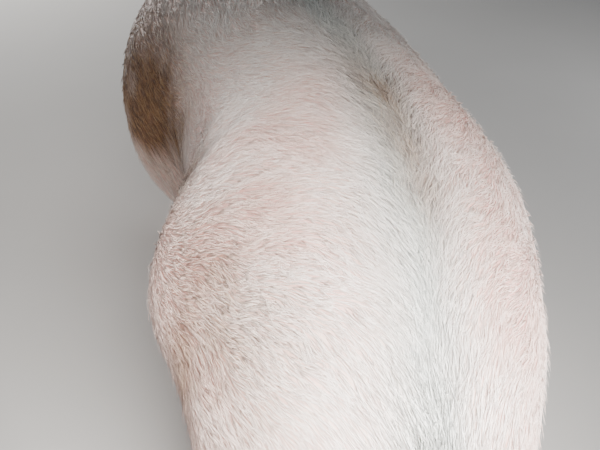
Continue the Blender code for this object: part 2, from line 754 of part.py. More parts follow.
def tassel(tip, path, radii, cutters):
    """Flat tapered locks rooted round the tail's last stretch, hanging along it and spreading a little."""
    draw = np.random.default_rng(5)
    locks = bpy.data.collections.new("tassel_locks")
    cutters.children.link(locks)
    down = (path[-1] - path[-3]) / np.linalg.norm(path[-1] - path[-3])
    side = np.cross(down, (0, 1, 0))
    side /= np.linalg.norm(side)
    front = np.cross(side, down)
    t = np.linspace(0, 1, 5)
    for number in range(TASSEL_LOCKS):
        turn = 2 * math.pi * (number * 0.38 + draw.uniform(-0.04, 0.04))
        out = side * math.cos(turn) + front * math.sin(turn)
        place = len(path) - 1 - TASSEL_REACH * (1 - (number + 0.5) / TASSEL_LOCKS)
        start = np.array([np.interp(place, np.arange(len(path)), column) for column in path.T])
        length = TASSEL_LENGTH * draw.uniform(0.75, 1.1)
        spread = radii[-1] * 0.4 + TASSEL_SPREAD * t**0.8 * draw.uniform(0.5, 1.3)
        route = start + np.outer(t * length, down) + np.outer(spread, out)
        widths = TASSEL_WIDTH * (1 - t**2) ** 0.7 + 0.0012
        add_object("lock", lock_mesh(route, widths, 0.35, out), locks)
    union_all(tip, locks)


def coat(node, cutters):
    """Flat tapered locks in staggered rows. They lie back along the surface and gather to the spine."""
    draw = np.random.default_rng(11)
    locks = bpy.data.collections.new("coat_locks")
    cutters.children.link(locks)
    first, last, count = COAT_STATIONS[node.name]
    for y in np.linspace(first, last, count):
        croup, back = COAT_SPREAD["croup"], COAT_SPREAD["back"]
        spread = croup + ramp(y, *COAT_CROUP_END) * (back - croup)
        for row in range(COAT_ROWS):
            lean = spread * (2 * row / (COAT_ROWS - 1) - 1) + draw.uniform(-0.04, 0.04)
            stagger = COAT_STAGGER * (row % 2) + draw.uniform(-0.010, 0.010)
            around = Vector((math.sin(lean), 0, math.cos(lean)))
            outside = Vector((0, y - stagger - COAT_SLOPE * around.z, COAT_AXIS)) + around
            skin, normal = node.ray_cast(outside, -around)[1:3]
            length = COAT_LENGTH[node.name] * draw.uniform(0.9, 1.1)
            gather = -COAT_GATHER * math.sin(lean) + draw.uniform(-0.08, 0.08)
            route = []
            for share, lift in zip(COAT_SHARES, COAT_LIFT):
                way = Vector((gather * share, -1, 0)).normalized()
                above = skin + way * (length * share) + around * 0.1
                laid, out = node.ray_cast(above, -around)[1:3]
                route.append(list(laid + out * lift))
            widths = COAT_WIDTH * draw.uniform(0.85, 1.1) * np.array(COAT_TAPER)
            add_object("lock", lock_mesh(route, widths, COAT_THIN, normal), locks)
    union_all(node, locks)


def union_all(obj, pieces):
    """One union of the object with a collection of closed pieces, which are then removed."""
    join = obj.modifiers.new("join", "BOOLEAN")
    join.operation = "UNION"
    join.solver = "EXACT"
    join.operand_type = "COLLECTION"
    join.collection = pieces
    apply_modifiers(obj)
    for piece in list(pieces.objects):
        remove(piece)
    bpy.data.collections.remove(pieces)
    keep_largest(obj)


def foot_centre(levels, side, step):
    return side * levels[-1].out, levels[-1].along + step


def trim_feet(body, cutters):
    """Each foot ends at its sloping coronet, with a narrow cleft above it between the two toes."""
    down = Vector((0, CORONET_SLOPE, -1)).normalized()
    for pair, name, levels, side, step in leg_parts():
        x, y = foot_centre(levels, side, step)
        cleft = ellipsoid(
            "cleft",
            cutters,
            Vector((x, y + 0.026, CORONET_HEIGHT + 0.012)),
            Matrix.Identity(3),
            CLEFT_RADII,
        )
        boolean(body, cleft, "DIFFERENCE")
        below = slab("below", cutters, Vector((x, y, CORONET_HEIGHT)), down, 0.14)
        boolean(body, below, "DIFFERENCE")


def claws(home):
    """Two claws a foot: a rounded sole flat on the floor, drawn in and back to the coronet's plane."""
    angle = np.arange(CLAW_SIDES) * (2 * math.pi / CLAW_SIDES)
    for pair, name, levels, side, step in leg_parts():
        x, y = foot_centre(levels, side, step)
        for place, outward in (("inner", -side), ("outer", side)):
            rings = []
            for rise in (0, 0.12, 0.55, 1):
                shrink = 1 - 0.10 * rise - 0.03 * (rise == 0)
                along = CLAW_LENGTH / 2 * shrink * bulge(np.sin(angle), 2.2) + CLAW_LEAN * (1 - rise)
                toe = 1 - 0.30 * ramp(along, 0, CLAW_LENGTH / 2 + CLAW_LEAN)
                across = CLAW_WIDTH / 2 * (shrink + 0.06 * rise) * toe * bulge(np.cos(angle), 2.4)
                height = rise * (CORONET_HEIGHT - GAP + CORONET_SLOPE * along)
                centre = x + outward * CLAW_SPREAD
                rings.append(np.stack([centre + across, y + along, height], axis=1))
            add_object(f"claw_{pair}_{name}_{place}", loft_mesh("claw", rings), home)


def dewclaws(legs, home, cutters):
    """Two small claws behind each pastern, pointing down and back."""
    for pair, name, levels, side, step in leg_parts():
        leg = legs[f"{pair}_{name}"]
        x, y = foot_centre(levels, side, step)
        for place, outward in (("inner", -side), ("outer", side)):
            inside = Vector((x + outward * DEWCLAW_SPREAD * 0.6, y, DEWCLAW_HEIGHT))
            behind = inside - Vector((0, 0.2, 0))
            skin = leg.ray_cast(behind, Vector((0, 1, 0)))[1]
            root = skin + Vector((0, 0.010, 0.010))
            way = Vector((outward * 0.22, -0.50, -0.84)).normalized()
            share = np.array([0, 0.3, 0.6, 0.85, 1.0])
            path = [list(root + way * DEWCLAW_LENGTH * s) for s in share]
            radii = DEWCLAW_RADIUS * np.array([1.0, 1.05, 0.9, 0.62, 0.30])
            claw = add_object(
                f"dewclaw_{pair}_{name}_{place}", loft_mesh("dewclaw", tube_rings(path, radii, 9)), home
            )
            boolean(claw, swollen(leg, "pastern_clear", cutters), "DIFFERENCE")
            keep_largest(claw)


def grown_outline(cut, by):
    """The side outline of a leg with its rounded top corners, by larger all round, as (y, z) pairs."""
    back, front = cut["back"] - by, cut["front"] + by
    top, radius = cut["top"] + by, cut["round"] + by
    turn = np.linspace(0, math.pi / 2, 9)
    rounded = [(front - radius + radius * math.cos(a), top - radius + radius * math.sin(a)) for a in turn]
    if cut["back"] < 0:
        corner = [(back, top)]
    else:
        corner = [(back + radius - radius * math.sin(a), top - radius + radius * math.cos(a)) for a in turn]
    return [(back, -0.1), (front, -0.1), *rounded, *corner]


def leg_block(name, home, cut, side, by):
    """A block of a leg's side outline, from a little off the middle plane outwards."""
    outline = grown_outline(cut, by)
    inner, outer = side * (cut["inner"] - by), side * CUT_DEPTH
    rings = [[(x, y, z) for y, z in outline] for x in (inner, outer)]
    return add_object(name, loft_mesh(name, rings), home)


def part_legs(body, home, cutters):
    legs = {}
    for pair, name, levels, side, step in leg_parts():
        cut = LEG_CUT[pair]
        leg = copy_of(body, f"leg_{pair}_{name}", home)
        boolean(leg, leg_block("leg_block", cutters, cut, side, 0), "INTERSECT")
        keep_largest(leg)
        boolean(body, leg_block("leg_block", cutters, cut, side, GAP), "DIFFERENCE")
        keep_largest(body)
        legs[f"{pair}_{name}"] = leg
    return legs


def part_off(body, name, home, cutters, point, normal):
    """Gives what lies beyond a plane to a new object, a thin gap ahead of what stays."""
    piece = copy_of(body, name, home)
    boolean(piece, slab("beyond", cutters, point, normal), "INTERSECT")
    boolean(body, slab("beyond", cutters, point - GAP * normal.normalized(), normal), "DIFFERENCE")
    keep_largest(piece)
    keep_largest(body)
    return piece


def kind_of(name):
    """The material for a sub-part, by the first word of its name."""
    kinds = {"eye": "eye", "claw": "horn", "dewclaw": "horn", "snout": "snout_skin", "ear": "ear_skin"}
    kinds["tail"] = "tail_skin"
    return kinds.get(name.split("_")[0], "skin")


def finish(home):
    """Sets the origin under the middle of the whole, and gives each sub-part its material and shading."""
    corners = np.array([corner[:] for obj in home.objects for corner in obj.bound_box])
    low, high = corners.min(axis=0), corners.max(axis=0)
    middle = (low + high) / 2
    for obj in home.objects:
        obj.data.transform(Matrix.Translation((-middle[0], -middle[1], 0)))
        obj.data.materials.clear()
        obj.data.materials.append(material(kind_of(obj.name)))
        obj.data.shade_smooth()
        obj.data.set_sharp_from_angle(angle=math.radians(50))


def main():
    clear_scene()
    home = collection("domestic_pig")
    cutters = collection("cutters", shown=False)
    body = flesh(home)
    body.name = "torso"
    hull = swollen(body, "hull", cutters)
    ears(hull, home, cutters)
    tail(hull, home, cutters)
    remove(hull)
    eyes(body, home, cutters)
    nostrils(body, cutters)
    mouth(body, cutters)
    teats(body, cutters)
    trim_feet(body, cutters)
    legs = part_legs(body, home, cutters)
    claws(home)
    dewclaws(legs, home, cutters)
    neck = part_off(body, "neck", home, cutters, *NECK_CUT)
    head = part_off(neck, "head", home, cutters, *HEAD_CUT)
    ahead = head_direction(Vector((0, 1, 0)))
    part_off(head, "snout", home, cutters, in_head(Vector((0, SNOUT_CUT, 0))), ahead)
    coat(body, cutters)
    coat(neck, cutters)
    finish(home)


main()
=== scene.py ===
"""Looks of a life-size domestic pig: one soft skin, a coat of white bristles, wet eyes and horn claws.

Metres, +Z up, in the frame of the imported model: the head looks along +Y, the pig's right side is at +X.
"""

import json
import math

import bmesh
import bpy
import numpy as np
from mathutils import Matrix, Vector
from mathutils.bvhtree import BVHTree

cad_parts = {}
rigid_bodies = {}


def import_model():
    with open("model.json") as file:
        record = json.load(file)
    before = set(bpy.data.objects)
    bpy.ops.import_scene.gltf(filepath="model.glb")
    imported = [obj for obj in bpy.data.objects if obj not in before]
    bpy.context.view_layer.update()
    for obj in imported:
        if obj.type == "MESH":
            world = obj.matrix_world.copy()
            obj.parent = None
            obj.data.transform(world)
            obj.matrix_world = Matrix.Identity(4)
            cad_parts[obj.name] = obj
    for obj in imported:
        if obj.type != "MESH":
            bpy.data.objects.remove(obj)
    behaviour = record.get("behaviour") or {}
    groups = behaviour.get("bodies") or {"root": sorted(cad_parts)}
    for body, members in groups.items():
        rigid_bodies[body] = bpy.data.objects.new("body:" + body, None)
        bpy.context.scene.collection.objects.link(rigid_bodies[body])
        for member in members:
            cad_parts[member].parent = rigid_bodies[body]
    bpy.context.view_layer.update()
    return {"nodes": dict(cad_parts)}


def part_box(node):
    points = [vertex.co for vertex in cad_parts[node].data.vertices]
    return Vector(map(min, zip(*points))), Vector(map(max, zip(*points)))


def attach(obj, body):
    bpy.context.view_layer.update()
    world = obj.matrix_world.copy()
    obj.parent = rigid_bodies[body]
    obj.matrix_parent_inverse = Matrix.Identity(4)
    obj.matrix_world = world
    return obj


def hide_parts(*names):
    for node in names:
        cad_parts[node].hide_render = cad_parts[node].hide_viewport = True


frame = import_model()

# The solids were built over the pig's middle plane from the rump, then moved by this to their own middle
SHIFT = np.array((0.02810, -0.85188, 0.0))
MIDDLE = SHIFT[0]
# Height of the trunk's long axis, round which the coat's map is unwrapped
BODY_AXIS = 0.60
# How far the spine sways off the middle plane, at places along the body from tail to neck
SPINE_Y = (-0.86, -0.77, -0.62, -0.55, -0.47, -0.34, -0.137, 0.03, 0.20, 0.44)
SPINE_X = (-0.024, -0.024, 0.004, 0.009, 0.024, 0.037, 0.016, -0.020, -0.020, 0.0)
# The crease before the left hip, between two places
HIP_CREASE = ((-0.190, -0.425, 0.715), (-0.100, -0.379, 0.829))
HIP_CREASE_DEPTH = 0.007
HIP_CREASE_WIDTH = 0.020
# Creases on both sides, behind the elbow and before the stifle: two ends, along and up the body, and a depth
SIDE_CREASES = (((0.135, 0.39), (0.080, 0.55), 0.0055), ((-0.545, 0.38), (-0.470, 0.57), 0.0050))
CREASE_WIDTH = 0.018
# Folds across the neck: how far apart and how deep
NECK_FOLD_SPACING = 0.052
NECK_FOLD_DEPTH = 0.0034
HEAD_BASE = np.array((0, 1.476, 0.665)) + SHIFT
HEAD_PITCH = math.radians(33)
SIDES = {"left": -1, "right": 1}
FEET = ("front_left", "front_right", "hind_left", "hind_right")

# The camera stands where the photograph's stood: above and behind the rump, on the pig's left. Its angles
# are in radians, and its focal length is in the photograph's pixels
CAMERA_PLACE = (-0.1715, -1.0016, 1.2074)
CAMERA_TURN = -0.2492
CAMERA_DOWN = 0.7308
CAMERA_ROLL = 0.0696
CAMERA_LENS = 593.1
PHOTO_WIDTH = 600
SENSOR = 36.0
FLOOR_REACH = 15

# Skin
FLESH = ("torso", "neck", "head", "snout", *(f"leg_{foot}" for foot in FEET))
WELD = 1e-5
GAP_SWELL = 0.0006
SKIN_VOXEL = 0.007
COAT_DEPTH = 0.003
EYE_RADIUS = 0.0125
EYE_LOOK = (0.84, 0.40, 0.28)
EYE_SLANT = (-0.20, 1.00, -0.22)
LID_OPEN = (0.0128, 0.0064)
LID_THICK = 0.0026
NOSTRIL_PLACE = (0.024, 0.360, 0.008)
NOSTRIL_RADII = (0.0120, 0.0150)
MOUTH = (
    (0.100, 0.158, -0.086),
    (0.092, 0.180, -0.091),
    (0.080, 0.215, -0.086),
    (0.068, 0.255, -0.076),
    (0.056, 0.285, -0.069),
    (0.038, 0.308, -0.066),
    (0.016, 0.320, -0.067),
)

# Ears, in the head's frame: the root, the way the leaf points and the way its cup looks
EAR_PLACE = (0.078, -0.012, 0.080)
EAR_AXIS = (0.56, -0.22, 0.80)
EAR_LOOK = (0.36, 0.86, 0.10)
EAR_LENGTH = 0.215
EAR_WIDTH = 0.165
EAR_THICKNESS = 0.0055
EAR_ROOT = 0.22
EAR_ROLL = math.radians(84)
EAR_OPEN = math.radians(24)
EAR_LEAN = 0.035

# Tail, before it is moved by SHIFT: it hangs from the croup, makes one loose loop and hangs again
TAIL_STEPS = 170
TAIL_ROOT = (
    (-0.024, 0.090, 0.752),
    (-0.024, 0.036, 0.748),
    (-0.024, -0.010, 0.735),
    (-0.024, -0.032, 0.708),
    (-0.024, -0.038, 0.672),
)
TAIL_LOOP = 0.028
TAIL_DRIFT = 0.032
TAIL_FALL = 0.030
TAIL_END = ((0.012, -0.046, 0.610), (0.013, -0.050, 0.575), (0.012, -0.052, 0.548))
TAIL_RADII = (0.0180, 0.0058)

# Teats in two rows
TEAT_PAIRS = 7
TEAT_FROM = 0.48
TEAT_SPACING = 0.073
TEAT_SPREAD = 0.068
TEAT_RADIUS = 0.0085
TEAT_LENGTH = 0.018
TEATS = []

# Coat: how many tufts in all, the most in one piece, and the edge of one tuft's patch on the map
TUFTS = 146000
TUFTS_A_PIECE = 19000
PATCH = 0.003
# How deep a tuft's root sits in the skin
ROOT_DEPTH = 0.0010
# The rump's hindmost reach, and the place by the tail's root that the hair round it points to
REAR = -0.852
TAIL_TARGET = (0.004, -0.90, 0.70)
COAT_PIECES = (
    "coat_rump_left",
    "coat_rump_right",
    "coat_loin_left",
    "coat_loin_right",
    "coat_ribs_left",
    "coat_ribs_right",
    "coat_shoulder_left",
    "coat_shoulder_right",
    "coat_neck_left",
    "coat_neck_right",
    "coat_head",
    "coat_hind_legs",
    "coat_front_legs",
    "coat_ears",
)
HEAD_COAT, HIND_COAT, FRONT_COAT, EAR_COAT = range(10, 14)
# Where one length of the trunk's coat ends and the next begins, from rump to neck
COAT_CUTS = (-0.48, -0.20, 0.08, 0.36)

# Lashes at each eye, and the tassel's hairs, which start over the last of the tail's steps
LASHES = 46
TASSEL_HAIRS = 420
TASSEL_FROM = 132
TASSEL_STEPS = 36
TASSEL_LENGTH = 0.085
TASSEL_SPREAD = 0.014

# Soil and painted shade: patches as centre, reach along each axis and strength. They lie on the left belly
# and flank (soil, with painted shade where the flank turns away), the left ham, the hip's crease (painted
# shade in the crease), the top of the croup, the right flank and ham, and the belly's underside
SOIL_AND_SHADE = (
    # Left belly and flank: brown soil, made darker by painted shade where the flank turns away
    ((-0.245, -0.03, 0.66), (0.115, 0.230, 0.180), 1.35),
    ((-0.200, -0.11, 0.66), (0.075, 0.130, 0.150), 1.00),
    ((-0.160, -0.15, 0.62), (0.070, 0.110, 0.160), 0.85),
    ((-0.190, -0.61, 0.67), (0.050, 0.070, 0.090), 0.72),
    ((-0.165, -0.63, 0.73), (0.090, 0.170, 0.160), 0.60),
    # Painted shade: a dark patch in the crease before the left hip
    ((-0.190, -0.40, 0.73), (0.045, 0.100, 0.110), 0.60),
    ((0.058, -0.44, 0.86), (0.046, 0.200, 0.060), 0.62),
    ((0.270, 0.04, 0.52), (0.060, 0.200, 0.130), 0.55),
    ((0.200, -0.66, 0.55), (0.050, 0.080, 0.100), 0.40),
    ((0.028, 0.05, 0.32), (0.150, 0.400, 0.040), 0.45),
)
SOIL_FEET = 0.75

# Feet
CORONET_HEIGHT = 0.036
CORONET_SLOPE = 0.30
CLAW_LENGTH = 0.080
CLAW_WIDTH = 0.039
CLAW_LEAN = 0.016
DEWCLAW_LENGTH = 0.046
DEWCLAW_RADIUS = 0.0125


def shown(obj, body="root", replaces=()):
    """Parents a finished piece to its body and hides the nodes it replaces."""
    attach(obj, body)
    if replaces:
        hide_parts(*replaces)
    return obj


# ---- numbers and curves ----


def ramp(value, start, end):
    """0 before start, 1 after end, a smoothstep between them."""
    t = np.clip((value - start) / (end - start), 0, 1)
    return t * t * (3 - 2 * t)


def unit(vectors):
    """Each vector divided by its length."""
    return vectors / np.maximum(np.linalg.norm(vectors, axis=-1, keepdims=True), 1e-12)


def noise(points, size, seed):
    """Smooth noise from 0 to 1: a hashed number on each corner of a lattice, blended by smoothstep."""
    cell = points / size
    base = np.floor(cell).astype(np.int64)
    t = cell - base
    t = t * t * (3 - 2 * t)
    total = np.zeros(len(points))
    for corner in np.ndindex(2, 2, 2):
        at = (base + corner).astype(np.uint64)
        key = at[:, 0] * np.uint64(73856093) ^ at[:, 1] * np.uint64(19349663)
        key = key ^ at[:, 2] * np.uint64(83492791)
        key = (key ^ np.uint64(seed * 2654435761)) * np.uint64(0x9E3779B97F4A7C15)
        value = (key >> np.uint64(40)).astype(float) / 2**24
        total += value * np.prod(np.where(corner, t, 1 - t), axis=1)
    return total


def billow(points, size, seed):
    """Three octaves of noise, each half as large and half as strong as the one before."""
    return sum(noise(points, size / 2**k, seed + k) / 2 ** (k + 1) for k in range(3)) / 0.875


def smooth_path(points, count):
    """A Catmull-Rom curve through the points, as count places evenly far apart."""
    points = np.asarray(points, float)
    ends = np.concatenate([2 * points[:1] - points[1:2], points, 2 * points[-1:] - points[-2:-1]])
    at = np.linspace(0, len(points) - 1 - 1e-9, 20 * len(points))
    k, t = at.astype(int), (at % 1)[:, None]
    a, b, c, d = ends[k], ends[k + 1], ends[k + 2], ends[k + 3]
    fine = 0.5 * (2 * b + (c - a) * t + (2 * a - 5 * b + 4 * c - d) * t**2 + (3 * b - a - 3 * c + d) * t**3)
    far = np.concatenate([[0], np.cumsum(np.linalg.norm(np.diff(fine, axis=0), axis=1))])
    even = np.linspace(0, far[-1], count)
    return np.stack([np.interp(even, far, column) for column in fine.T], axis=1)


def tube_frames(path, guide):
    """Across and up directions at each point of a path, the up one turned as little as can be."""
    across, up = np.empty_like(path), np.empty_like(path)
    guide = np.asarray(guide, float)
    for k, forward in enumerate(unit(np.gradient(path, axis=0))):
        guide = guide - forward * guide.dot(forward)
        guide /= np.linalg.norm(guide)
        up[k], across[k] = guide, np.cross(forward, guide)
    return across, up


def head_turn():
    """Rows that turn the head's frame into the world: its Y runs along the face, pitched down."""
    c, s = math.cos(HEAD_PITCH), math.sin(HEAD_PITCH)
    return np.array(((1, 0, 0), (0, c, -s), (0, s, c)))


def in_head(place, side=1):
    """A place of the head's frame, on the right side or mirrored to the left, in the world."""
    return HEAD_BASE + (np.asarray(place, float) * (side, 1, 1)) @ head_turn()


def head_way(way, side=1):
    """A direction of the head's frame, on the right side or mirrored to the left, in the world."""
    return unit((np.asarray(way, float) * (side, 1, 1)) @ head_turn())


def of_head(points):
    """World points seen from the head's frame."""
    return (points - HEAD_BASE) @ head_turn().T


# ---- meshes ----


def new_object(name, mesh):
    obj = bpy.data.objects.new(name, mesh)
    bpy.context.scene.collection.objects.link(obj)
    return obj


def mesh_from(name, points, faces):
    """A smooth mesh from an array of points and arrays of corner numbers, one array per corner count."""
    sizes = np.concatenate([np.full(len(f), f.shape[1]) for f in faces])
    corners = np.concatenate([f.ravel() for f in faces])
    mesh = bpy.data.meshes.new(name)
    mesh.vertices.add(len(points))
    mesh.loops.add(len(corners))
    mesh.polygons.add(len(sizes))
    mesh.vertices.foreach_set("co", np.ascontiguousarray(points, np.float32).ravel())
    mesh.loops.foreach_set("vertex_index", corners.astype(np.int32))
    starts = np.concatenate([[0], np.cumsum(sizes)[:-1]])
    mesh.polygons.foreach_set("loop_start", starts.astype(np.int32))
    mesh.polygons.foreach_set("use_smooth", np.ones(len(sizes), bool))
    mesh.update(calc_edges=True)
    mesh.validate()
    return mesh


def grid_faces(rows, columns, closed):
    """Quads over a grid of points, joined round its columns where it is closed."""
    corner = np.arange(rows * columns).reshape(rows, columns)
    right = np.roll(corner, -1, axis=1) if closed else corner[:, 1:]
    left = corner if closed else corner[:, :-1]
    return np.stack([left[:-1], right[:-1], right[1:], left[1:]], axis=-1).reshape(-1, 4)


def turned_out(mesh):
    """Recalculates a closed mesh's faces so that they look outwards."""
    work = bmesh.new()
    work.from_mesh(mesh)
    bmesh.ops.recalc_face_normals(work, faces=work.faces)
    work.to_mesh(mesh)
    work.free()
    return mesh


def tube_mesh(name, rings):
    """A closed skin over rings of points, each end closed by a fan to the ring's middle."""
    count, sides = rings.shape[:2]
    points = np.concatenate([rings.reshape(-1, 3), rings[0].mean(0)[None], rings[-1].mean(0)[None]])
    ring = np.arange(sides)
    start = np.stack([np.roll(ring, -1), ring, np.full(sides, count * sides)], axis=1)
    last = ring + (count - 1) * sides
    end = np.stack([last, np.roll(last, -1), np.full(sides, count * sides + 1)], axis=1)
    faces = [grid_faces(count, sides, True), np.concatenate([start, end])]
    return turned_out(mesh_from(name, points, faces))


def read_points(mesh):
    points = np.empty(len(mesh.vertices) * 3, np.float32)
    mesh.vertices.foreach_get("co", points)
    return points.reshape(-1, 3).astype(float)


def read_normals(mesh):
    normals = np.empty(len(mesh.vertices) * 3, np.float32)
    mesh.vertex_normals.foreach_get("vector", normals)
    return normals.reshape(-1, 3).astype(float)


def write_points(mesh, points):
    mesh.vertices.foreach_set("co", np.ascontiguousarray(points, np.float32).ravel())
    mesh.update()


def read_edges(mesh):
    edges = np.empty(len(mesh.edges) * 2, np.int32)
    mesh.edges.foreach_get("vertices", edges)
    return edges.reshape(-1, 2)


def write_value(mesh, name, values):
    """A number on each point of the mesh, for its material to read."""
    layer = mesh.attributes.new(name, "FLOAT", "POINT")
    layer.data.foreach_set("value", np.ascontiguousarray(values, np.float32))


def apply_modifiers(obj):
    bpy.context.view_layer.update()
    graph = bpy.context.evaluated_depsgraph_get()
    mesh = bpy.data.meshes.new_from_object(obj.evaluated_get(graph))
    obj.modifiers.clear()
    old, obj.data = obj.data, mesh
    bpy.data.meshes.remove(old)


def relax(points, edges, weights, rounds):
    """Moves each point towards the mean of its neighbours by half its weight, the given times."""
    ends = np.concatenate([edges, edges[:, ::-1]])
    count = np.bincount(ends[:, 0], minlength=len(points))[:, None]
    for _ in range(rounds):
        total = np.stack(
            [np.bincount(ends[:, 0], column[ends[:, 1]], len(points)) for column in points.T], axis=1
        )
        points = points + 0.5 * weights[:, None] * (total / np.maximum(count, 1) - points)
    return points


# ---- the skin ----


def flesh_mesh():
    """Copies of the flesh nodes, welded and swollen over their thin gaps, fused by a voxel remesh."""
    joined = bmesh.new()
    for name in FLESH:
        part = bmesh.new()
        part.from_mesh(frame["nodes"][name].data)
        bmesh.ops.remove_doubles(part, verts=part.verts, dist=WELD)
        part.normal_update()
        for vert in part.verts:
            vert.co += vert.normal * GAP_SWELL
        mesh = bpy.data.meshes.new("part")
        part.to_mesh(mesh)
        part.free()
        joined.from_mesh(mesh)
        bpy.data.meshes.remove(mesh)
    mesh = bpy.data.meshes.new("skin")
    joined.to_mesh(mesh)
    joined.free()
    skin = new_object("skin", mesh)
    remesh = skin.modifiers.new("fuse", "REMESH")
    remesh.mode = "VOXEL"
    remesh.voxel_size = SKIN_VOXEL
    apply_modifiers(skin)
    keep_largest(skin.data)
    return skin


def keep_largest(mesh):
    """Drops every surface but the one with the most points, found by spreading the lowest number."""
    edges = read_edges(mesh)
    label = np.arange(len(mesh.vertices))
    while True:
        low = np.minimum(label[edges[:, 0]], label[edges[:, 1]])
        spread = label.copy()
        np.minimum.at(spread, edges[:, 0], low)
        np.minimum.at(spread, edges[:, 1], low)
        spread = spread[spread]
        if (spread == label).all():
            break
        label = spread
    kept = np.bincount(label).argmax()
    if (label == kept).all():
        return
    work = bmesh.new()
    work.from_mesh(mesh)
    work.verts.ensure_lookup_table()
    bmesh.ops.delete(work, geom=[work.verts[k] for k in np.flatnonzero(label != kept)], context="VERTS")
    work.to_mesh(mesh)
    work.free()


def soften(skin):
    """Rounds off the facets: most on the trunk, where the solids' locks must go, least on face and feet."""
    points = read_points(skin.data)
    edges = read_edges(skin.data)
    face = ramp(of_head(points)[:, 1], 0.0, 0.10)
    trunk = (1 - face) * ramp(points[:, 2], 0.30, 0.52)
    points = relax(points, edges, trunk, 60)
    points = relax(points, edges, np.clip(0.35 + 0.65 * trunk, 0, 1), 12)
    write_points(skin.data, points)


def refine(skin, chosen):
    """Splits the chosen faces in four."""
    work = bmesh.new()
    work.from_mesh(skin.data)
    work.faces.ensure_lookup_table()
    edges = {edge for k in np.flatnonzero(chosen) for edge in work.faces[k].edges}
    bmesh.ops.subdivide_edges(work, edges=list(edges), cuts=1, use_grid_fill=True, smooth=0.0)
    work.to_mesh(skin.data)
    work.free()


def face_middles(mesh):
    middles = np.empty(len(mesh.polygons) * 3, np.float32)
    mesh.polygons.foreach_get("center", middles)
    return middles.reshape(-1, 3).astype(float)


def eye_centre(name):
    low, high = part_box(f"eye_{name}")
    return np.array((low + high) / 2)


def eye_axes(side):
    """Directions of an eye: out along its look, along its slit and up across it."""
    look = head_way(EYE_LOOK, side)
    slit = head_way(EYE_SLANT, side)
    slit = unit(slit - look * slit.dot(look))
    up = np.cross(look, slit)
    return look, slit, up * np.sign(up[2])


def mouth_line():
    """Places along the mouth, from its right corner round the front to its left one."""
    right = [in_head(place) for place in MOUTH]
    left = [in_head(place, -1) for place in reversed(MOUTH)]
    return smooth_path(right + left, 160)


def refine_face(skin):
    """Finer faces on the head, finer again round eyes, snout and mouth, and finest at the lids."""
    middles = face_middles(skin.data)
    refine(skin, of_head(middles)[:, 1] > 0.02)
    middles = face_middles(skin.data)
    local = of_head(middles)
    near_eye = np.min([np.linalg.norm(middles - eye_centre(n), axis=1) for n in SIDES], axis=0)
    line = mouth_line()
    low = np.flatnonzero((local[:, 1] > 0.13) & (local[:, 2] < -0.02))
    near_mouth = np.full(len(middles), 1.0)
    near_mouth[low] = np.linalg.norm(middles[low, None] - line[None], axis=2).min(axis=1)
    refine(skin, (near_eye < 0.034) | (local[:, 1] > 0.318) | (near_mouth < 0.014))
    middles = face_middles(skin.data)
    near_eye = np.min([np.linalg.norm(middles - eye_centre(n), axis=1) for n in SIDES], axis=0)
    refine(skin, near_eye < 0.021)


def carve_eyes(skin):
    """Lids over each eyeball: a ball-shaped swelling, an almond slit cut into it, and a crease above."""
    points = read_points(skin.data)
    for name, side in SIDES.items():
        centre = eye_centre(name)
        look, slit, up = eye_axes(side)
        q = points - centre
        a, b, c = q @ slit, q @ up, q @ look
        radius = np.hypot(a, b)
        near = (radius < 0.032) & (c > -0.006) & (c < 0.03)
        a, b, c, radius = a[near], b[near], c[near], radius[near]
        rest = np.median(c[(radius > 0.016) & (radius < 0.022)])
        ball = EYE_RADIUS + LID_THICK
        dome = np.sqrt(np.maximum(ball**2 - radius**2, 0))
        lid = rest - 0.5 * radius**2 / 0.05 + 0.0005
        swell = np.maximum(lid - 0.001, dome)
        blend = 1 - ramp(radius, 0.013, 0.030)
        height = c * (1 - blend) + swell * blend
        open_to = LID_OPEN[1] * np.clip(1 - (a / LID_OPEN[0]) ** 2, 0, 1) ** 0.8
        edge = np.abs(b + 0.0004) - open_to
        upper = b > 0
        crease = np.exp(-(((edge - 0.0042) / 0.0011) ** 2)) * np.where(upper, 0.0016, 0.0009)
        second = np.exp(-(((edge - 0.0082) / 0.0013) ** 2)) * np.where(upper, 0.0008, 0.0011)
        rim = 0.0010 * np.exp(-(((edge - 0.0012) / 0.0010) ** 2))
        height += (rim - crease - second) * (1 - ramp(radius, 0.018, 0.026))
        inside = np.sqrt(np.maximum((EYE_RADIUS - 0.0012) ** 2 - radius**2, 0)) - 0.0010
        sink = (1 - ramp(edge, -0.0008, 0.0006)) * (np.abs(a) < LID_OPEN[0] + 0.001)
        height = height * (1 - sink) + np.minimum(inside, height) * sink
        points[near] += (height - c)[:, None] * look
    write_points(skin.data, points)


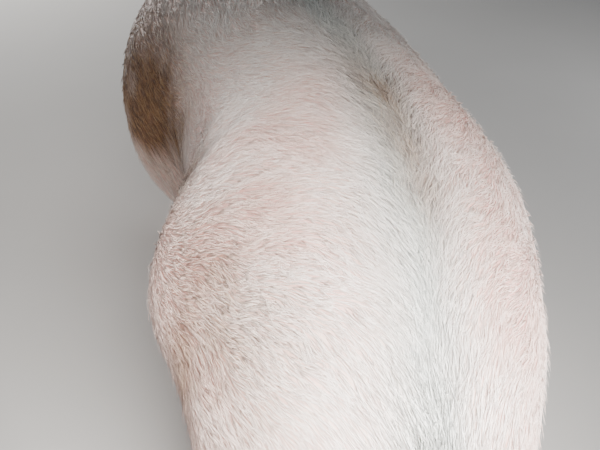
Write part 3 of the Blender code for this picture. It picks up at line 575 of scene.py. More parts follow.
def carve_snout(skin):
    """The snout, each point moved along the face. Nostrils are deep ovals with raised rims, and a soft groove
    runs between them. The disc has a rounded edge with short wrinkles across it, and the bridge behind it has
    wavy folds about 16 mm apart."""
    points = read_points(skin.data)
    local = of_head(points)
    x, y, z = local.T
    front = ramp(y, 0.335, 0.350)
    for side in SIDES.values():
        dx, dz = x - side * NOSTRIL_PLACE[0], z - NOSTRIL_PLACE[2]
        u = (dx + side * 0.30 * dz) / NOSTRIL_RADII[0]
        v = (dz - side * 0.30 * dx) / NOSTRIL_RADII[1]
        r = np.hypot(u, v)
        hole = 1 - ramp(r, 0.55, 1.05)
        rim = np.exp(-(((r - 1.25) / 0.28) ** 2))
        local[:, 1] += front * (0.0018 * rim - 0.021 * hole)
    local[:, 1] -= front * 0.0025 * np.exp(-((x / 0.006) ** 2)) * ramp(-z, -0.02, 0.02)
    local[:, 1] += front * 0.0012 * (billow(local, 0.011, 87) - 0.5)
    disc = np.hypot(x / 0.073, (z - 0.003) / 0.064)
    spread = np.cos(34 * np.arctan2(x, z) + 5 * noise(local, 0.02, 89))
    local[:, 1] -= front * 0.0007 * np.maximum(spread, 0) ** 3 * np.exp(-(((disc - 0.95) / 0.10) ** 2))
    local[:, 1] += front * 0.0020 * np.exp(-(((disc - 0.86) / 0.10) ** 2))
    bridge = ramp(y, 0.215, 0.250) * (1 - ramp(y, 0.322, 0.334))
    stray = 0.006 * (noise(local, 0.03, 81) - 0.5)
    wave = np.cos(2 * np.pi * (y + stray + 0.012 * np.cos(x / 0.02) - 0.322) / 0.0155)
    shape = (1 - 2 * np.maximum(-wave, 0) ** 3) * noise(local, 0.02, 83)
    fold = 0.0011 * bridge * shape * ramp(z, -0.03, 0.02)
    out = unit(np.stack([x, 0 * x, z], axis=1))
    local += fold[:, None] * out
    write_points(skin.data, local @ head_turn() + HEAD_BASE)


def carve_mouth(skin):
    """The line of the mouth as a narrow groove between two soft lips, deepest along its middle."""
    points, normals = read_points(skin.data), read_normals(skin.data)
    local = of_head(points)
    near = np.flatnonzero((local[:, 1] > 0.12) & (local[:, 1] < 0.335) & (local[:, 2] < -0.03))
    tree = skin_tree(skin)
    line = np.array([tree.find_nearest(Vector(p))[0] for p in mouth_line()])
    gap = np.linalg.norm(points[near, None] - line[None], axis=2)
    nearest = gap.argmin(axis=1)
    away = gap.min(axis=1)
    share = nearest / (len(line) - 1)
    strength = ramp(share, 0, 0.06) * ramp(1 - share, 0, 0.06)
    groove = 0.0048 * np.exp(-((away / 0.0021) ** 2)) * (0.3 + 0.7 * strength)
    lips = 0.0022 * np.exp(-(((away - 0.0062) / 0.0036) ** 2)) * strength
    points[near] += (lips - groove)[:, None] * normals[near]
    write_points(skin.data, points)


def beside(places, start, end):
    """How far places lie from the line between two ends, and each place's share along it."""
    start, way = np.array(start), np.array(end) - np.array(start)
    share = np.clip((places - start) @ way / (way @ way), 0, 1)
    return np.linalg.norm(places - start - share[:, None] * way, axis=1), share


def folds(points):
    """How far the skin is pushed out, in metres: slack flesh by noise, less the neck's folds along a cosine,
    and less the creases of elbow, stifle and left hip, each a bell across its line."""
    x, y, z = (points - (MIDDLE, 0, 0)).T
    side = np.abs(x)
    push = 0.0022 * (billow(points, 0.11, 3) - 0.5) * ramp(z, 0.30, 0.45)
    neck = ramp(y, 0.40, 0.48) * (1 - ramp(y, 0.60, 0.66)) * ramp(side, 0.04, 0.10)
    bend = y + 0.16 * (z - 0.6) + 0.02 * noise(points, 0.12, 8)
    push -= NECK_FOLD_DEPTH * neck * np.maximum(np.cos(2 * np.pi * bend / NECK_FOLD_SPACING), 0) ** 4
    for start, end, depth in SIDE_CREASES:
        away = beside(points[:, 1:], start, end)[0]
        push -= depth * np.exp(-((away / CREASE_WIDTH) ** 2)) * ramp(side, 0.08, 0.14)
    away, share = beside(points, *HIP_CREASE)
    crease = np.exp(-((away / HIP_CREASE_WIDTH) ** 2)) * (1 - 0.5 * share)
    return push - HIP_CREASE_DEPTH * crease


def ear_mesh(name, side):
    """A leaf in two parameters, rolled into a cup towards its root. v runs up it, and a turn round its
    section gives u, the share across it, and the face it is on, as far out as the leaf is thick."""
    rows, sides = 60, 80
    v = np.linspace(-EAR_ROOT, 1, rows)[:, None]
    turn_round = 2 * np.pi * (np.arange(sides) / sides)[None]
    u = np.cos(turn_round) * np.ones_like(v)
    face = np.sin(turn_round) * np.ones_like(v)
    length = np.clip(v, 0, 1)
    half, turn = ear_shape(length)
    half = half * (1 + 0.020 * np.sin(9 * length + side) + 0.012 * np.sin(23 * length))
    angle = u * turn
    thick = EAR_THICKNESS * (1 - 0.50 * length) * (1 - 0.30 * u**2) / 2
    thick = thick * np.sqrt(np.clip(1 - length**14, 0.02, 1))
    ridge = 0.0012 * np.cos(np.pi * 3 * u) * (1 - length) * ramp(length, 0.02, 0.2) * (face > 0)
    place, axis, look, across = ear_leaf(side)
    depth = (half / turn) * (1 - np.cos(angle)) + EAR_LEAN * length**2
    middle = (
        place
        + axis * (EAR_LENGTH * v)[..., None]
        + across * ((half / turn) * np.sin(angle))[..., None]
        + look * depth[..., None]
    )
    out = across * np.sin(angle)[..., None] - look * np.cos(angle)[..., None]
    rings = middle + out * ((thick * -face) + ridge)[..., None]
    return tube_mesh(name, rings)


def tail_points():
    """Places down the tail: its root, a full turn of a loop that drifts to one side, and its end."""
    start = np.array(TAIL_ROOT[-1])
    turn = 2 * np.pi * np.arange(1, 9) / 8
    share = turn / (2 * np.pi)
    down = TAIL_LOOP * np.sin(turn) + TAIL_FALL * share
    loop = start + np.stack([TAIL_DRIFT * share, TAIL_LOOP * (np.cos(turn) - 1), -down], axis=1)
    return np.concatenate([TAIL_ROOT, loop, TAIL_END]) + SHIFT


def tail_mesh(name):
    """A tapered tube along the tail's path, with shallow creases round it every few millimetres."""
    path = smooth_path(tail_points(), TAIL_STEPS)
    share = np.linspace(0, 1, len(path))
    radii = TAIL_RADII[0] + (TAIL_RADII[1] - TAIL_RADII[0]) * share**0.7
    radii = radii * (1 - 0.035 * np.maximum(np.cos(2 * np.pi * share * 34), 0) ** 3)
    radii = radii * np.sqrt(np.clip(1.002 - share**40, 0.05, 1))
    across, up = tube_frames(path, (1.0, 0, 0))
    angle = 2 * np.pi * np.arange(24) / 24
    rings = path[:, None] + radii[:, None, None] * (
        np.cos(angle)[None, :, None] * across[:, None] + np.sin(angle)[None, :, None] * up[:, None]
    )
    return tube_mesh(name, rings)


def teat_mesh(name, skin_point):
    """A small teat: rings whose radius narrows, flares at its shoulder and rounds over at the tip."""
    depth = np.array((-1.0, -0.5, -0.2, 0.0, 0.2, 0.45, 0.7, 0.88, 0.97, 1.0)) * TEAT_LENGTH
    radii = TEAT_RADIUS * np.array((2.0, 1.8, 1.5, 1.22, 1.02, 0.90, 0.86, 0.74, 0.50, 0.22))
    angle = 2 * np.pi * np.arange(20) / 20
    ring = np.stack([np.cos(angle), np.sin(angle), 0 * angle], axis=1)
    rings = skin_point + radii[:, None, None] * ring[None] - depth[:, None, None] * np.array((0, 0, 1.0))
    return tube_mesh(name, rings)


def grow_on(skin, pieces):
    """Joins closed pieces to the skin by one Boolean union."""
    home = bpy.data.collections.new("joined")
    bpy.context.scene.collection.children.link(home)
    for mesh in pieces:
        home.objects.link(bpy.data.objects.new(mesh.name, mesh))
    join = skin.modifiers.new("join", "BOOLEAN")
    join.operation = "UNION"
    join.operand_type = "COLLECTION"
    join.collection = home
    join.solver = "MANIFOLD"
    apply_modifiers(skin)
    for obj in list(home.objects):
        bpy.data.objects.remove(obj, do_unlink=True)
    bpy.data.collections.remove(home)


def skin_tree(skin):
    """The skin's faces, ready to be searched for the nearest place."""
    points = [tuple(p) for p in read_points(skin.data).tolist()]
    return BVHTree.FromPolygons(points, [tuple(face.vertices) for face in skin.data.polygons])


def make_skin():
    """One skin: flesh fused, softened and folded, drawn in by the coat's depth and carved at the face, with
    tail, ears and teats grown on."""
    skin = flesh_mesh()
    soften(skin)
    points, normals = read_points(skin.data), read_normals(skin.data)
    write_points(skin.data, points + normals * folds(points)[:, None])
    points, normals = read_points(skin.data), read_normals(skin.data)
    face = ramp(of_head(points)[:, 1], 0.02, 0.12)
    depth = COAT_DEPTH * (1 - face) * (0.35 + 0.65 * ramp(points[:, 2], 0.25, 0.50))
    write_points(skin.data, points - normals * depth[:, None])
    refine_face(skin)
    carve_eyes(skin)
    carve_mouth(skin)
    carve_snout(skin)
    tree = skin_tree(skin)
    pieces = [tail_mesh("tail")]
    pieces += [ear_mesh(f"ear_{name}", side) for name, side in SIDES.items()]
    for pair in range(TEAT_PAIRS):
        for side in SIDES.values():
            below = np.array((side * TEAT_SPREAD, TEAT_FROM + pair * TEAT_SPACING, 0.1)) + SHIFT
            skin_point = np.array(tree.ray_cast(Vector(below), Vector((0, 0, 1)))[0])
            pieces.append(teat_mesh("teat", skin_point))
            TEATS.append(skin_point)
    grow_on(skin, pieces)
    points = read_points(skin.data)
    write_value(skin.data, "soil_and_shade", soil_and_shade_on(points))
    write_value(skin.data, "blush", blush_on(points))
    write_value(skin.data, "cool_shade", cool_shade_on(points))
    return skin


# ---- places on the body ----


def off_spine(points):
    """How far to the right of the swaying spine each point lies."""
    return points[:, 0] - MIDDLE - np.interp(points[:, 1], SPINE_Y, SPINE_X)


def ear_leaf(side):
    """An ear's root, the way it points, the way its cup looks, and the direction across it."""
    axis, look = head_way(EAR_AXIS, side), head_way(EAR_LOOK, side)
    look = unit(look - axis * look.dot(axis))
    return in_head(EAR_PLACE, side), axis, look, np.cross(axis, look)


def ear_shape(length):
    """Half the leaf's width, and how far its half is rolled round, at shares of its length."""
    half = EAR_WIDTH / 2 * np.maximum(np.sin(np.pi * (0.30 + 0.70 * length)), 1e-4) ** 0.8
    return half, EAR_ROLL * (1 - length) ** 1.4 + EAR_OPEN


def on_ear(points, side):
    """Which points lie on an ear, and the share across its roll and the way out of it at each."""
    place, axis, look, across = ear_leaf(side)
    q = points - place
    length = q @ axis / EAR_LENGTH
    half, turn = ear_shape(np.clip(length, 0, 1))
    ring = half / turn
    deep = ring - (q @ look - EAR_LEAN * np.clip(length, 0, 1) ** 2)
    wide = q @ across
    angle = np.arctan2(wide, deep)
    off = np.abs(np.hypot(wide, deep) - ring)
    inside = (length > 0.05) & (length < 1.06) & (off < 0.007) & (np.abs(angle) < turn * 1.1 + 0.05)
    out = across * np.sin(angle)[:, None] - look * np.cos(angle)[:, None]
    return inside, angle / turn, out


def foot_middle(foot):
    """The middle of a foot's two claws, seen from above."""
    low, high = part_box(f"claw_{foot}_inner")
    other_low, other_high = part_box(f"claw_{foot}_outer")
    return (low.x + high.x + other_low.x + other_high.x) / 4, (low.y + high.y) / 2


def leg_share(points):
    """1 on the lower legs, 0 on the trunk: near a foot's upright line and low."""
    share = np.zeros(len(points))
    for foot in FEET:
        x, y = foot_middle(foot)
        lean = 0.05 if foot.startswith("hind") else 0.0
        away = np.hypot(points[:, 0] - x, points[:, 1] - y + lean)
        reach = 1 - ramp(away, 0.115, 0.165)
        share = np.maximum(share, reach * (1 - ramp(points[:, 2], 0.33, 0.50)))
    return share


def soil_and_shade_on(points):
    """How brown and dark a place is, from 0 to 1: soft patches of soil and of painted shade, broken by noise
    and by streaks drawn out downwards, the soiled feet, and painted shade in the hollows of the nostrils."""
    total = np.zeros(len(points))
    streaks = billow(points * (1, 1, 0.16), 0.016, 21)
    cloud = billow(points, 0.075, 25)
    for centre, radii, strength in SOIL_AND_SHADE:
        away = np.linalg.norm((points - centre) / radii, axis=1)
        total = np.maximum(total, strength * (1 - ramp(away, 0.15, 1.50)))
    low = 1 - ramp(points[:, 2], 0.05, 0.26)
    total = np.maximum(total, SOIL_FEET * low)
    # Painted shade: the deep hollows of the nostrils are darkened
    x, y, z = of_head(points).T
    across, up = np.abs(x) - NOSTRIL_PLACE[0], z - NOSTRIL_PLACE[2]
    nostril = np.hypot(across / NOSTRIL_RADII[0], up / NOSTRIL_RADII[1])
    dark = (1 - ramp(nostril, 0.55, 1.15)) * ramp(y, 0.26, 0.29) * (1 - ramp(y, 0.340, 0.352))
    broken = np.clip(1.7 * (0.55 * cloud + 0.45 * streaks) - 0.30, 0, 1)
    total = total * (0.35 + 0.95 * broken) + 0.10 * ramp(cloud, 0.50, 0.85)
    return np.clip(np.maximum(total, 0.9 * dark), 0, 1)


def cool_shade_on(points):
    """How cool and grey the coat and skin look, from 0 to 1: painted cool shade along the spine over croup
    and loin, and over the top of the loin.
    """
    x, y, z = off_spine(points), points[:, 1], points[:, 2]
    # Painted cool shade: a grey band along the spine and a grey stretch over the loin's top
    band = np.exp(-((x / 0.040) ** 2)) * ramp(z, 0.66, 0.76) * (1 - ramp(y, 0.0, 0.5))
    loin = 0.45 * ramp(y, -0.50, -0.15) * ramp(z, 0.70, 0.84) * (1 - ramp(y, 0.30, 0.50))
    return np.clip(np.maximum(band, loin) * (0.6 + 0.8 * billow(points * (1, 0.3, 1), 0.030, 71)), 0, 1)


def blush_on(points):
    """How pink the skin is, from 0 to 1: most on snout, ears, lids and tail, and in clouds on the trunk."""
    local = of_head(points)
    blush = ramp(local[:, 1], 0.27, 0.335)
    for name, side in SIDES.items():
        blush = np.maximum(blush, 0.60 * on_ear(points, side)[0])
        near = np.linalg.norm(points - eye_centre(name), axis=1)
        blush = np.maximum(blush, 0.8 * (1 - ramp(near, 0.010, 0.026)))
    blush = np.maximum(blush, 0.55 * (1 - ramp(points[:, 1], REAR - 0.02, REAR + 0.03)))
    trunk = ramp(points[:, 2], 0.40, 0.60) * (1 - ramp(local[:, 1], -0.1, 0.1))
    rosy = ramp(billow(points, 0.11, 45), 0.35, 0.75) * ramp(np.abs(off_spine(points)), 0.03, 0.10)
    ham = 0.45 + 0.55 * (1 - ramp(points[:, 1], -0.50, -0.15))
    return np.maximum(blush, 0.80 * trunk * rosy * ham)


# ---- the coat ----


def coat_growth(points, normals):
    """What grows at each place: its way, length, width and lift, how close it stands, and its piece's number.

    The hair lies back along the body, gathers towards the tail's root at the rump, and hangs on the legs.
    """
    x = off_spine(points)
    y, z = points[:, 1], points[:, 2]
    local = of_head(points)
    up = np.clip(normals[:, 2], 0, 1)
    legs = leg_share(points)
    head = ramp(local[:, 1], -0.06, 0.05) * ramp(z, 0.36, 0.40)
    muzzle = ramp(local[:, 1], 0.12, 0.30)
    rump = 1 - ramp(y, -0.42, 0.00)
    high = ramp(z, 0.56, 0.74)
    ridge = np.exp(-((x / 0.052) ** 2)) * up * (1 - head)

    droop = 0.42 * (1 - high) + 0.10
    gather = (0.10 + 1.75 * rump) * np.tanh(x / 0.11) * high
    way = unit(np.stack([-gather, -np.ones_like(x), -droop], axis=1))
    to_tail = unit(np.array(TAIL_TARGET) - points)
    pull = (0.8 * (1 - ramp(y, REAR + 0.03, REAR + 0.22)) * ramp(z, 0.50, 0.66))[:, None]
    way = way * (1 - pull) + to_tail * pull
    way = way * (1 - legs[:, None]) + np.array((0, -0.35, -1.0)) * legs[:, None]
    under = ramp(-local[:, 2], 0, 0.1)
    back_of_head = np.stack([0.5 * local[:, 0], -np.ones_like(x), -0.25 * under], axis=1)
    way = way * (1 - head[:, None]) + (back_of_head @ head_turn()) * head[:, None]

    length = 0.030 + 0.004 * up
    length = length - 0.005 * rump * high
    length = length + 0.026 * ridge
    length = length * (1 - 0.30 * (1 - ramp(z, 0.36, 0.48)))
    length = length * (1 - legs) + (0.011 + 0.005 * ramp(z, 0.1, 0.3)) * legs
    length = length * (1 - head) + (0.013 - 0.0075 * muzzle) * head
    width = 0.0011 + 0.0007 * ramp(y, -0.30, 0.15) + 0.0004 * (1 - high)
    width = width * (1 - legs) + 0.0013 * legs
    width = width * (1 - head) + (0.0012 - 0.0004 * muzzle) * head
    lift = 0.0016 + 0.0014 * ridge + 0.0012 * (1 - high)
    lift = lift * (1 - 0.5 * legs) * (1 - 0.55 * head)

    seen = (1 - ramp(y, -0.30, 0.15)) * ramp(z, 0.58, 0.68)
    close = 2.9 + 9.0 * seen + 0.6 * up
    close = close * (1 - 0.6 * (1 - ramp(normals[:, 2], -0.9, -0.4)))
    close = close * (1 - legs) + 6.0 * legs
    close = close * (1 - head) + (7.0 + 3.0 * muzzle) * head
    close = close * (1 - ramp(local[:, 1], 0.318, 0.330)) * ramp(z, 0.030, 0.040)
    for teat in TEATS:
        close = close * ramp(np.linalg.norm(points - teat, axis=1), 0.016, 0.020)

    region = np.digitize(y, COAT_CUTS) * 2 + (x > 0)
    region = np.where(head > 0.5, HEAD_COAT, region)
    region = np.where(legs > 0.5, np.where(y < -0.2, HIND_COAT, FRONT_COAT), region)

    tail = np.flatnonzero((y < REAR + 0.012) & (z < 0.80) & (z > 0.45))
    if len(tail):
        path = smooth_path(tail_points(), 90)
        gap = np.linalg.norm(points[tail, None] - path[None], axis=2)
        near = gap.min(axis=1) < 0.0215
        tail, at = tail[near], gap.argmin(axis=1)[near]
        along = unit(np.gradient(path, axis=0))
        way[tail], length[tail], width[tail], lift[tail] = along[at], 0.011, 0.0010, 0.0012
        close[tail], region[tail] = 5.0, HIND_COAT
    for name, side in SIDES.items():
        inside, turn, out = on_ear(points, side)
        axis, _, across = ear_leaf(side)[1:]
        outer = np.einsum("ij,ij->i", normals, out) > 0
        fan = axis + 0.45 * turn[:, None] * across
        way[inside] = fan[inside]
        rim = ramp(np.abs(turn), 0.7, 0.95)
        length[inside] = np.where(outer, 0.010, 0.013 + 0.006 * rim)[inside]
        width[inside], lift[inside] = 0.0009, 0.0008
        close[inside] = np.where(outer, 6.0, 3.0 * rim)[inside]
        region[inside] = EAR_COAT
        near = np.linalg.norm(points - eye_centre(name), axis=1)
        close *= ramp(near, 0.0125, 0.0150)
        length *= 0.35 + 0.65 * ramp(near, 0.014, 0.040)
    return way, length, width, lift, close, region


def spread_roots(skin):
    """Roots laid over the skin's triangles evenly by area times closeness, each jittered in its stride."""
    mesh = skin.data
    mesh.calc_loop_triangles()
    corners = np.empty(len(mesh.loop_triangles) * 3, np.int32)
    mesh.loop_triangles.foreach_get("vertices", corners)
    points, normals = read_points(mesh), read_normals(mesh)
    corner = corners.reshape(-1, 3)
    a, b, c = (points[corner[:, k]] for k in range(3))
    cross = np.cross(b - a, c - a)
    area = np.linalg.norm(cross, axis=1) / 2
    close = coat_growth((a + b + c) / 3, unit(cross))[4]
    far = np.cumsum(area * np.maximum(close, 0))
    draw = np.random.default_rng(7)
    at = (np.arange(TUFTS) + draw.random(TUFTS)) * far[-1] / TUFTS
    chosen = np.minimum(np.searchsorted(far, at), len(far) - 1)
    s, t = draw.random((2, TUFTS))
    over = s + t > 1
    s, t = np.where(over, 1 - s, s)[:, None], np.where(over, 1 - t, t)[:, None]
    share = (1 - s - t, s, t)
    roots = sum(part * points[corner[chosen, k]] for k, part in enumerate(share))
    outward = unit(sum(part * normals[corner[chosen, k]] for k, part in enumerate(share)))
    return roots, outward


def turned(ways, normals, angles):
    """Tangent directions turned about their normals."""
    ways = unit(ways - normals * np.einsum("ij,ij->i", ways, normals)[:, None])
    return ways * np.cos(angles)[:, None] + np.cross(normals, ways) * np.sin(angles)[:, None]


def wander(points, ridge_quiet):
    """How far the lie strays at each place, in radians: broad sweeps, whorls a few centimetres wide and fine
    disorder, the last two weakened near the ridge."""
    broad = 0.30 * (billow(points, 0.14, 31) - 0.5)
    whorl = 1.25 * (billow(points, 0.045, 35) - 0.5)
    fine = 0.75 * (noise(points, 0.012, 39) - 0.5)
    return broad + (whorl + fine) * ridge_quiet


def laid_on(tree, points, lift):
    """The nearest places on the skin, raised off it along its normals."""
    found = [tree.find_nearest(Vector(p))[:2] for p in points.tolist()]
    skin = np.array([f[0] for f in found])
    normal = np.array([f[1] for f in found])
    return skin + normal * lift[:, None], normal


def clump_shift(roots, size, seed):
    """From each root to the middle of its clump: roots are gathered by the cells of a warped lattice."""
    warp = np.stack([noise(roots, size * 2.2, seed + k) for k in range(3)], axis=1)
    cell = np.floor(roots / size + 1.3 * warp).astype(np.int64)
    cell -= cell.min(axis=0)
    across, along, up = cell.max(axis=0) + 1
    group = np.unique((cell[:, 0] * along + cell[:, 1]) * up + cell[:, 2], return_inverse=True)[1].ravel()
    count = np.bincount(group)
    middle = np.stack([np.bincount(group, column) / count for column in roots.T], axis=1)
    return middle[group] - roots


def tuft_points(centres, normals, widths, flat=0.36):
    """Rings of three points along each tuft's centre line, wide and low, and one point at its tip."""
    along = unit(np.gradient(centres, axis=1))
    across = unit(np.cross(along, normals))
    over = np.cross(across, along)
    half = widths[..., None] / 2
    rings = [
        centres[:, :-1] + across[:, :-1] * half[:, :-1],
        centres[:, :-1] - across[:, :-1] * half[:, :-1],
        centres[:, :-1] + over[:, :-1] * half[:, :-1] * 2 * flat,
    ]
    rings = np.stack(rings, axis=2).reshape(len(centres), -1, 3)
    return np.concatenate([rings, centres[:, -1:]], axis=1)


def tuft_faces(count, rings):
    """Root, sides and tip of count tufts, each ring's three points in order and the tip last."""
    per = 3 * rings + 1
    ring = np.arange(3)
    onward = (ring + 1) % 3
    quads = [np.stack([ring, onward, onward + 3, ring + 3], axis=1) + 3 * k for k in range(rings - 1)]
    last = 3 * (rings - 1)
    tip = np.stack([last + ring, last + onward, np.full(3, per - 1)], axis=1)
    root = np.array([[2, 1, 0]])
    start = (np.arange(count) * per)[:, None, None]
    four = (np.concatenate(quads)[None] + start).reshape(-1, 4)
    three = (np.concatenate([tip, root])[None] + start).reshape(-1, 3)
    return [four, three]


def tuft_piece(name, centres, normals, widths, place, tint, roots, material):
    """One piece of coat: a joined mesh of tufts, its attributes, and its map of patches at the roots."""
    count, rings = len(centres), centres.shape[1] - 1
    points = tuft_points(centres, normals, widths)
    per = points.shape[1]
    mesh = mesh_from(name, points.reshape(-1, 3), tuft_faces(count, rings))
    share = np.append(np.repeat(np.linspace(0, 1, rings + 1)[:-1], 3), 1.0)
    looks = {"tint": tint, "soil_and_shade": soil_and_shade_on(roots), "cool_shade": cool_shade_on(roots), "blush": blush_on(roots)}
    for kind, values in looks.items():
        write_value(mesh, kind, np.repeat(values, per))
    write_value(mesh, "reach", np.tile(share, count))
    low, high = place.min(axis=0), place.max(axis=0)
    middle = PATCH + (1 - 2 * PATCH) * (place - low) / np.maximum(high - low, 1e-9)
    spin = np.append(np.tile(2 * np.pi * np.arange(3) / 3, rings), 0.0)
    local = np.stack([share - 0.5, 0.5 * np.cos(spin) * (1 - 0.5 * share)], axis=1) * PATCH
    patch = (middle[:, None] + local[None]).reshape(-1, 2)
    corners = np.empty(len(mesh.loops), np.int32)
    mesh.loops.foreach_get("vertex_index", corners)
    layer = mesh.uv_layers.new(name="OFBake")
    layer.data.foreach_set("uv", np.ascontiguousarray(patch[corners], np.float32).ravel())
    mesh.materials.append(material)
    return new_object(name, mesh)


def unwrapped(roots, region):
    """Where roots fall on an unwrap of the body: the angle round trunk, head or leg, and the place on it."""
    x, y, z = (roots - (MIDDLE, 0, BODY_AXIS)).T
    trunk = np.stack([np.arctan2(x, z), y], axis=1)
    local = of_head(roots)
    head = np.stack([np.arctan2(local[:, 0], local[:, 2] + 0.03), local[:, 1]], axis=1)
    leg = np.zeros((len(roots), 2))
    nearest = np.full(len(roots), 9.0)
    for number, foot in enumerate(FEET):
        cx, cy = foot_middle(foot)
        away = np.hypot(roots[:, 0] - cx, roots[:, 1] - cy)
        turn = np.arctan2(roots[:, 0] - cx, roots[:, 1] - cy) + 7.0 * number
        leg = np.where((away < nearest)[:, None], np.stack([turn, roots[:, 2]], axis=1), leg)
        nearest = np.minimum(nearest, away)
    ear = np.stack([roots[:, 0], roots[:, 2] + 0.5 * local[:, 1]], axis=1)
    place = np.where((region == HEAD_COAT)[:, None], head, trunk)
    place = np.where(((region == HIND_COAT) | (region == FRONT_COAT))[:, None], leg, place)
    return np.where((region == EAR_COAT)[:, None], ear, place)


def make_coat(skin, bristle):
    """Tufts all over: each starts under the skin, bends down along the lie and ends at a fine raised tip."""
    roots, normals = spread_roots(skin)
    way, length, width, lift, _, region = coat_growth(roots, normals)
    draw = np.random.default_rng(13)
    on_trunk = region < HEAD_COAT
    soft = 0.35 + 0.65 * ramp(np.abs(off_spine(roots)), 0.03, 0.09)
    soft = np.where(on_trunk, soft, 0.45)
    way = turned(way, normals, wander(roots, soft) + draw.normal(0, 0.13, len(roots)))
    length = length * draw.uniform(0.65, 1.25, len(roots))
    stray = (draw.random(len(roots)) < 0.05) & on_trunk
    lift = lift * draw.uniform(0.4, 1.7, len(roots)) + np.where(stray, 0.0045, 0)
    clump = clump_shift(roots, 0.0105, 51) * 0.75 + clump_shift(roots, 0.024, 57) * 0.25
    clump = np.where(on_trunk[:, None], clump, 0.5 * clump)
    clump = clump - normals * np.einsum("ij,ij->i", clump, normals)[:, None]
    tree = skin_tree(skin)
    half_way = roots + way * (0.45 * length)[:, None] + 0.15 * clump
    middle, upper = laid_on(tree, half_way, 0.45 * lift + 0.0003)
    tip, end = laid_on(tree, roots + way * length[:, None] + 0.55 * clump, lift)
    centres = np.stack([roots - normals * ROOT_DEPTH, middle, tip], axis=1)
    facing = np.stack([normals, upper, end], axis=1)
    widths = width[:, None] * draw.uniform(0.75, 1.25, len(roots))[:, None] * np.array((1.0, 0.85, 0.0))
    tint = draw.random(len(roots))
    place = unwrapped(roots, region)
    pieces = []
    for number, name in enumerate(COAT_PIECES):
        mine = np.flatnonzero(region == number)
        for part, chosen in enumerate(np.array_split(mine, -(-len(mine) // TUFTS_A_PIECE))):
            label = name if len(mine) <= TUFTS_A_PIECE else f"{name}_{part + 1}"
            own = (values[chosen] for values in (centres, facing, widths, place, tint, roots))
            pieces.append(tuft_piece(label, *own, bristle))
    return pieces


# ---- eyes, lashes, claws and tassel ----


def eye_mesh(name, side):
    """A ball in two angles, t from its look and s round it, raised a little over the iris as a cornea."""
    look, slit, up = eye_axes(side)
    t = np.linspace(0.02, math.pi - 0.02, 64)[:, None]
    s = 2 * np.pi * (np.arange(64) / 64)[None]
    radius = EYE_RADIUS * (1 + 0.045 * np.exp(-((t / 0.45) ** 4)))
    along = np.cos(t) * radius + 0 * s
    wide, high = np.sin(t) * np.cos(s) * radius, np.sin(t) * np.sin(s) * radius
    rings = eye_centre(name) + along[..., None] * look + wide[..., None] * slit + high[..., None] * up
    mesh = tube_mesh(f"eyeball_{name}", rings)
    q = read_points(mesh) - eye_centre(name)
    ring = np.hypot(q @ slit / 1.22, q @ up) / EYE_RADIUS
    write_value(mesh, "ring", np.where(q @ look > 0, ring, 1.5))
    return mesh


def make_lashes(name, side, bristle):
    """White lashes along the upper lid's margin, a few below: each curves out of the slit and droops."""
    draw = np.random.default_rng(17 + side)
    look, slit, up = eye_axes(side)
    count = LASHES
    upper = np.arange(count) < count * 0.72
    a = LID_OPEN[0] * draw.uniform(-0.80, 0.92, count)
    b = LID_OPEN[1] * np.clip(1 - (a / LID_OPEN[0]) ** 2, 0, 1) ** 0.8
    b = b + 0.0013 * draw.uniform(0.5, 1.3, count)
    b = np.where(upper, b, -b)
    c = np.sqrt((EYE_RADIUS + LID_THICK) ** 2 - a**2 - b**2) - 0.0006
    length = np.where(upper, 0.0125, 0.0070) * draw.uniform(0.7, 1.15, count)
    t = np.linspace(0, 1, 5)
    rise = np.where(upper, 0.62, -0.75)[:, None] + draw.normal(0, 0.10, (count, 1))
    fan = (a / LID_OPEN[0] * 0.55)[:, None] + draw.normal(0, 0.08, (count, 1))
    out = t * 0.85
    high = rise * (t - 0.85 * t**2 * upper[:, None])
    steps = (
        out[None, :, None] * look + high[..., None] * up + (fan * t)[..., None] * slit
    ) * length[:, None, None]
    start = eye_centre(name) + a[:, None] * slit + b[:, None] * up + c[:, None] * look
    centres = start[:, None] + steps
    facing = np.broadcast_to(up, centres.shape)
    widths = 0.00042 * draw.uniform(0.8, 1.2, (count, 1)) * (1 - 0.75 * t)[None]
    place = np.stack([a, np.where(upper, 1.0, 0.0) + 0.3 * draw.random(count)], axis=1)
    return tuft_piece(
        f"lashes_{name}", centres, facing, widths, place, draw.random(count), start, bristle
    )


def bulge(value, square):
    """A sine or cosine raised to 2 / square with its sign kept, which squares up a round outline."""
    return np.sign(value) * np.abs(value) ** (2 / square)


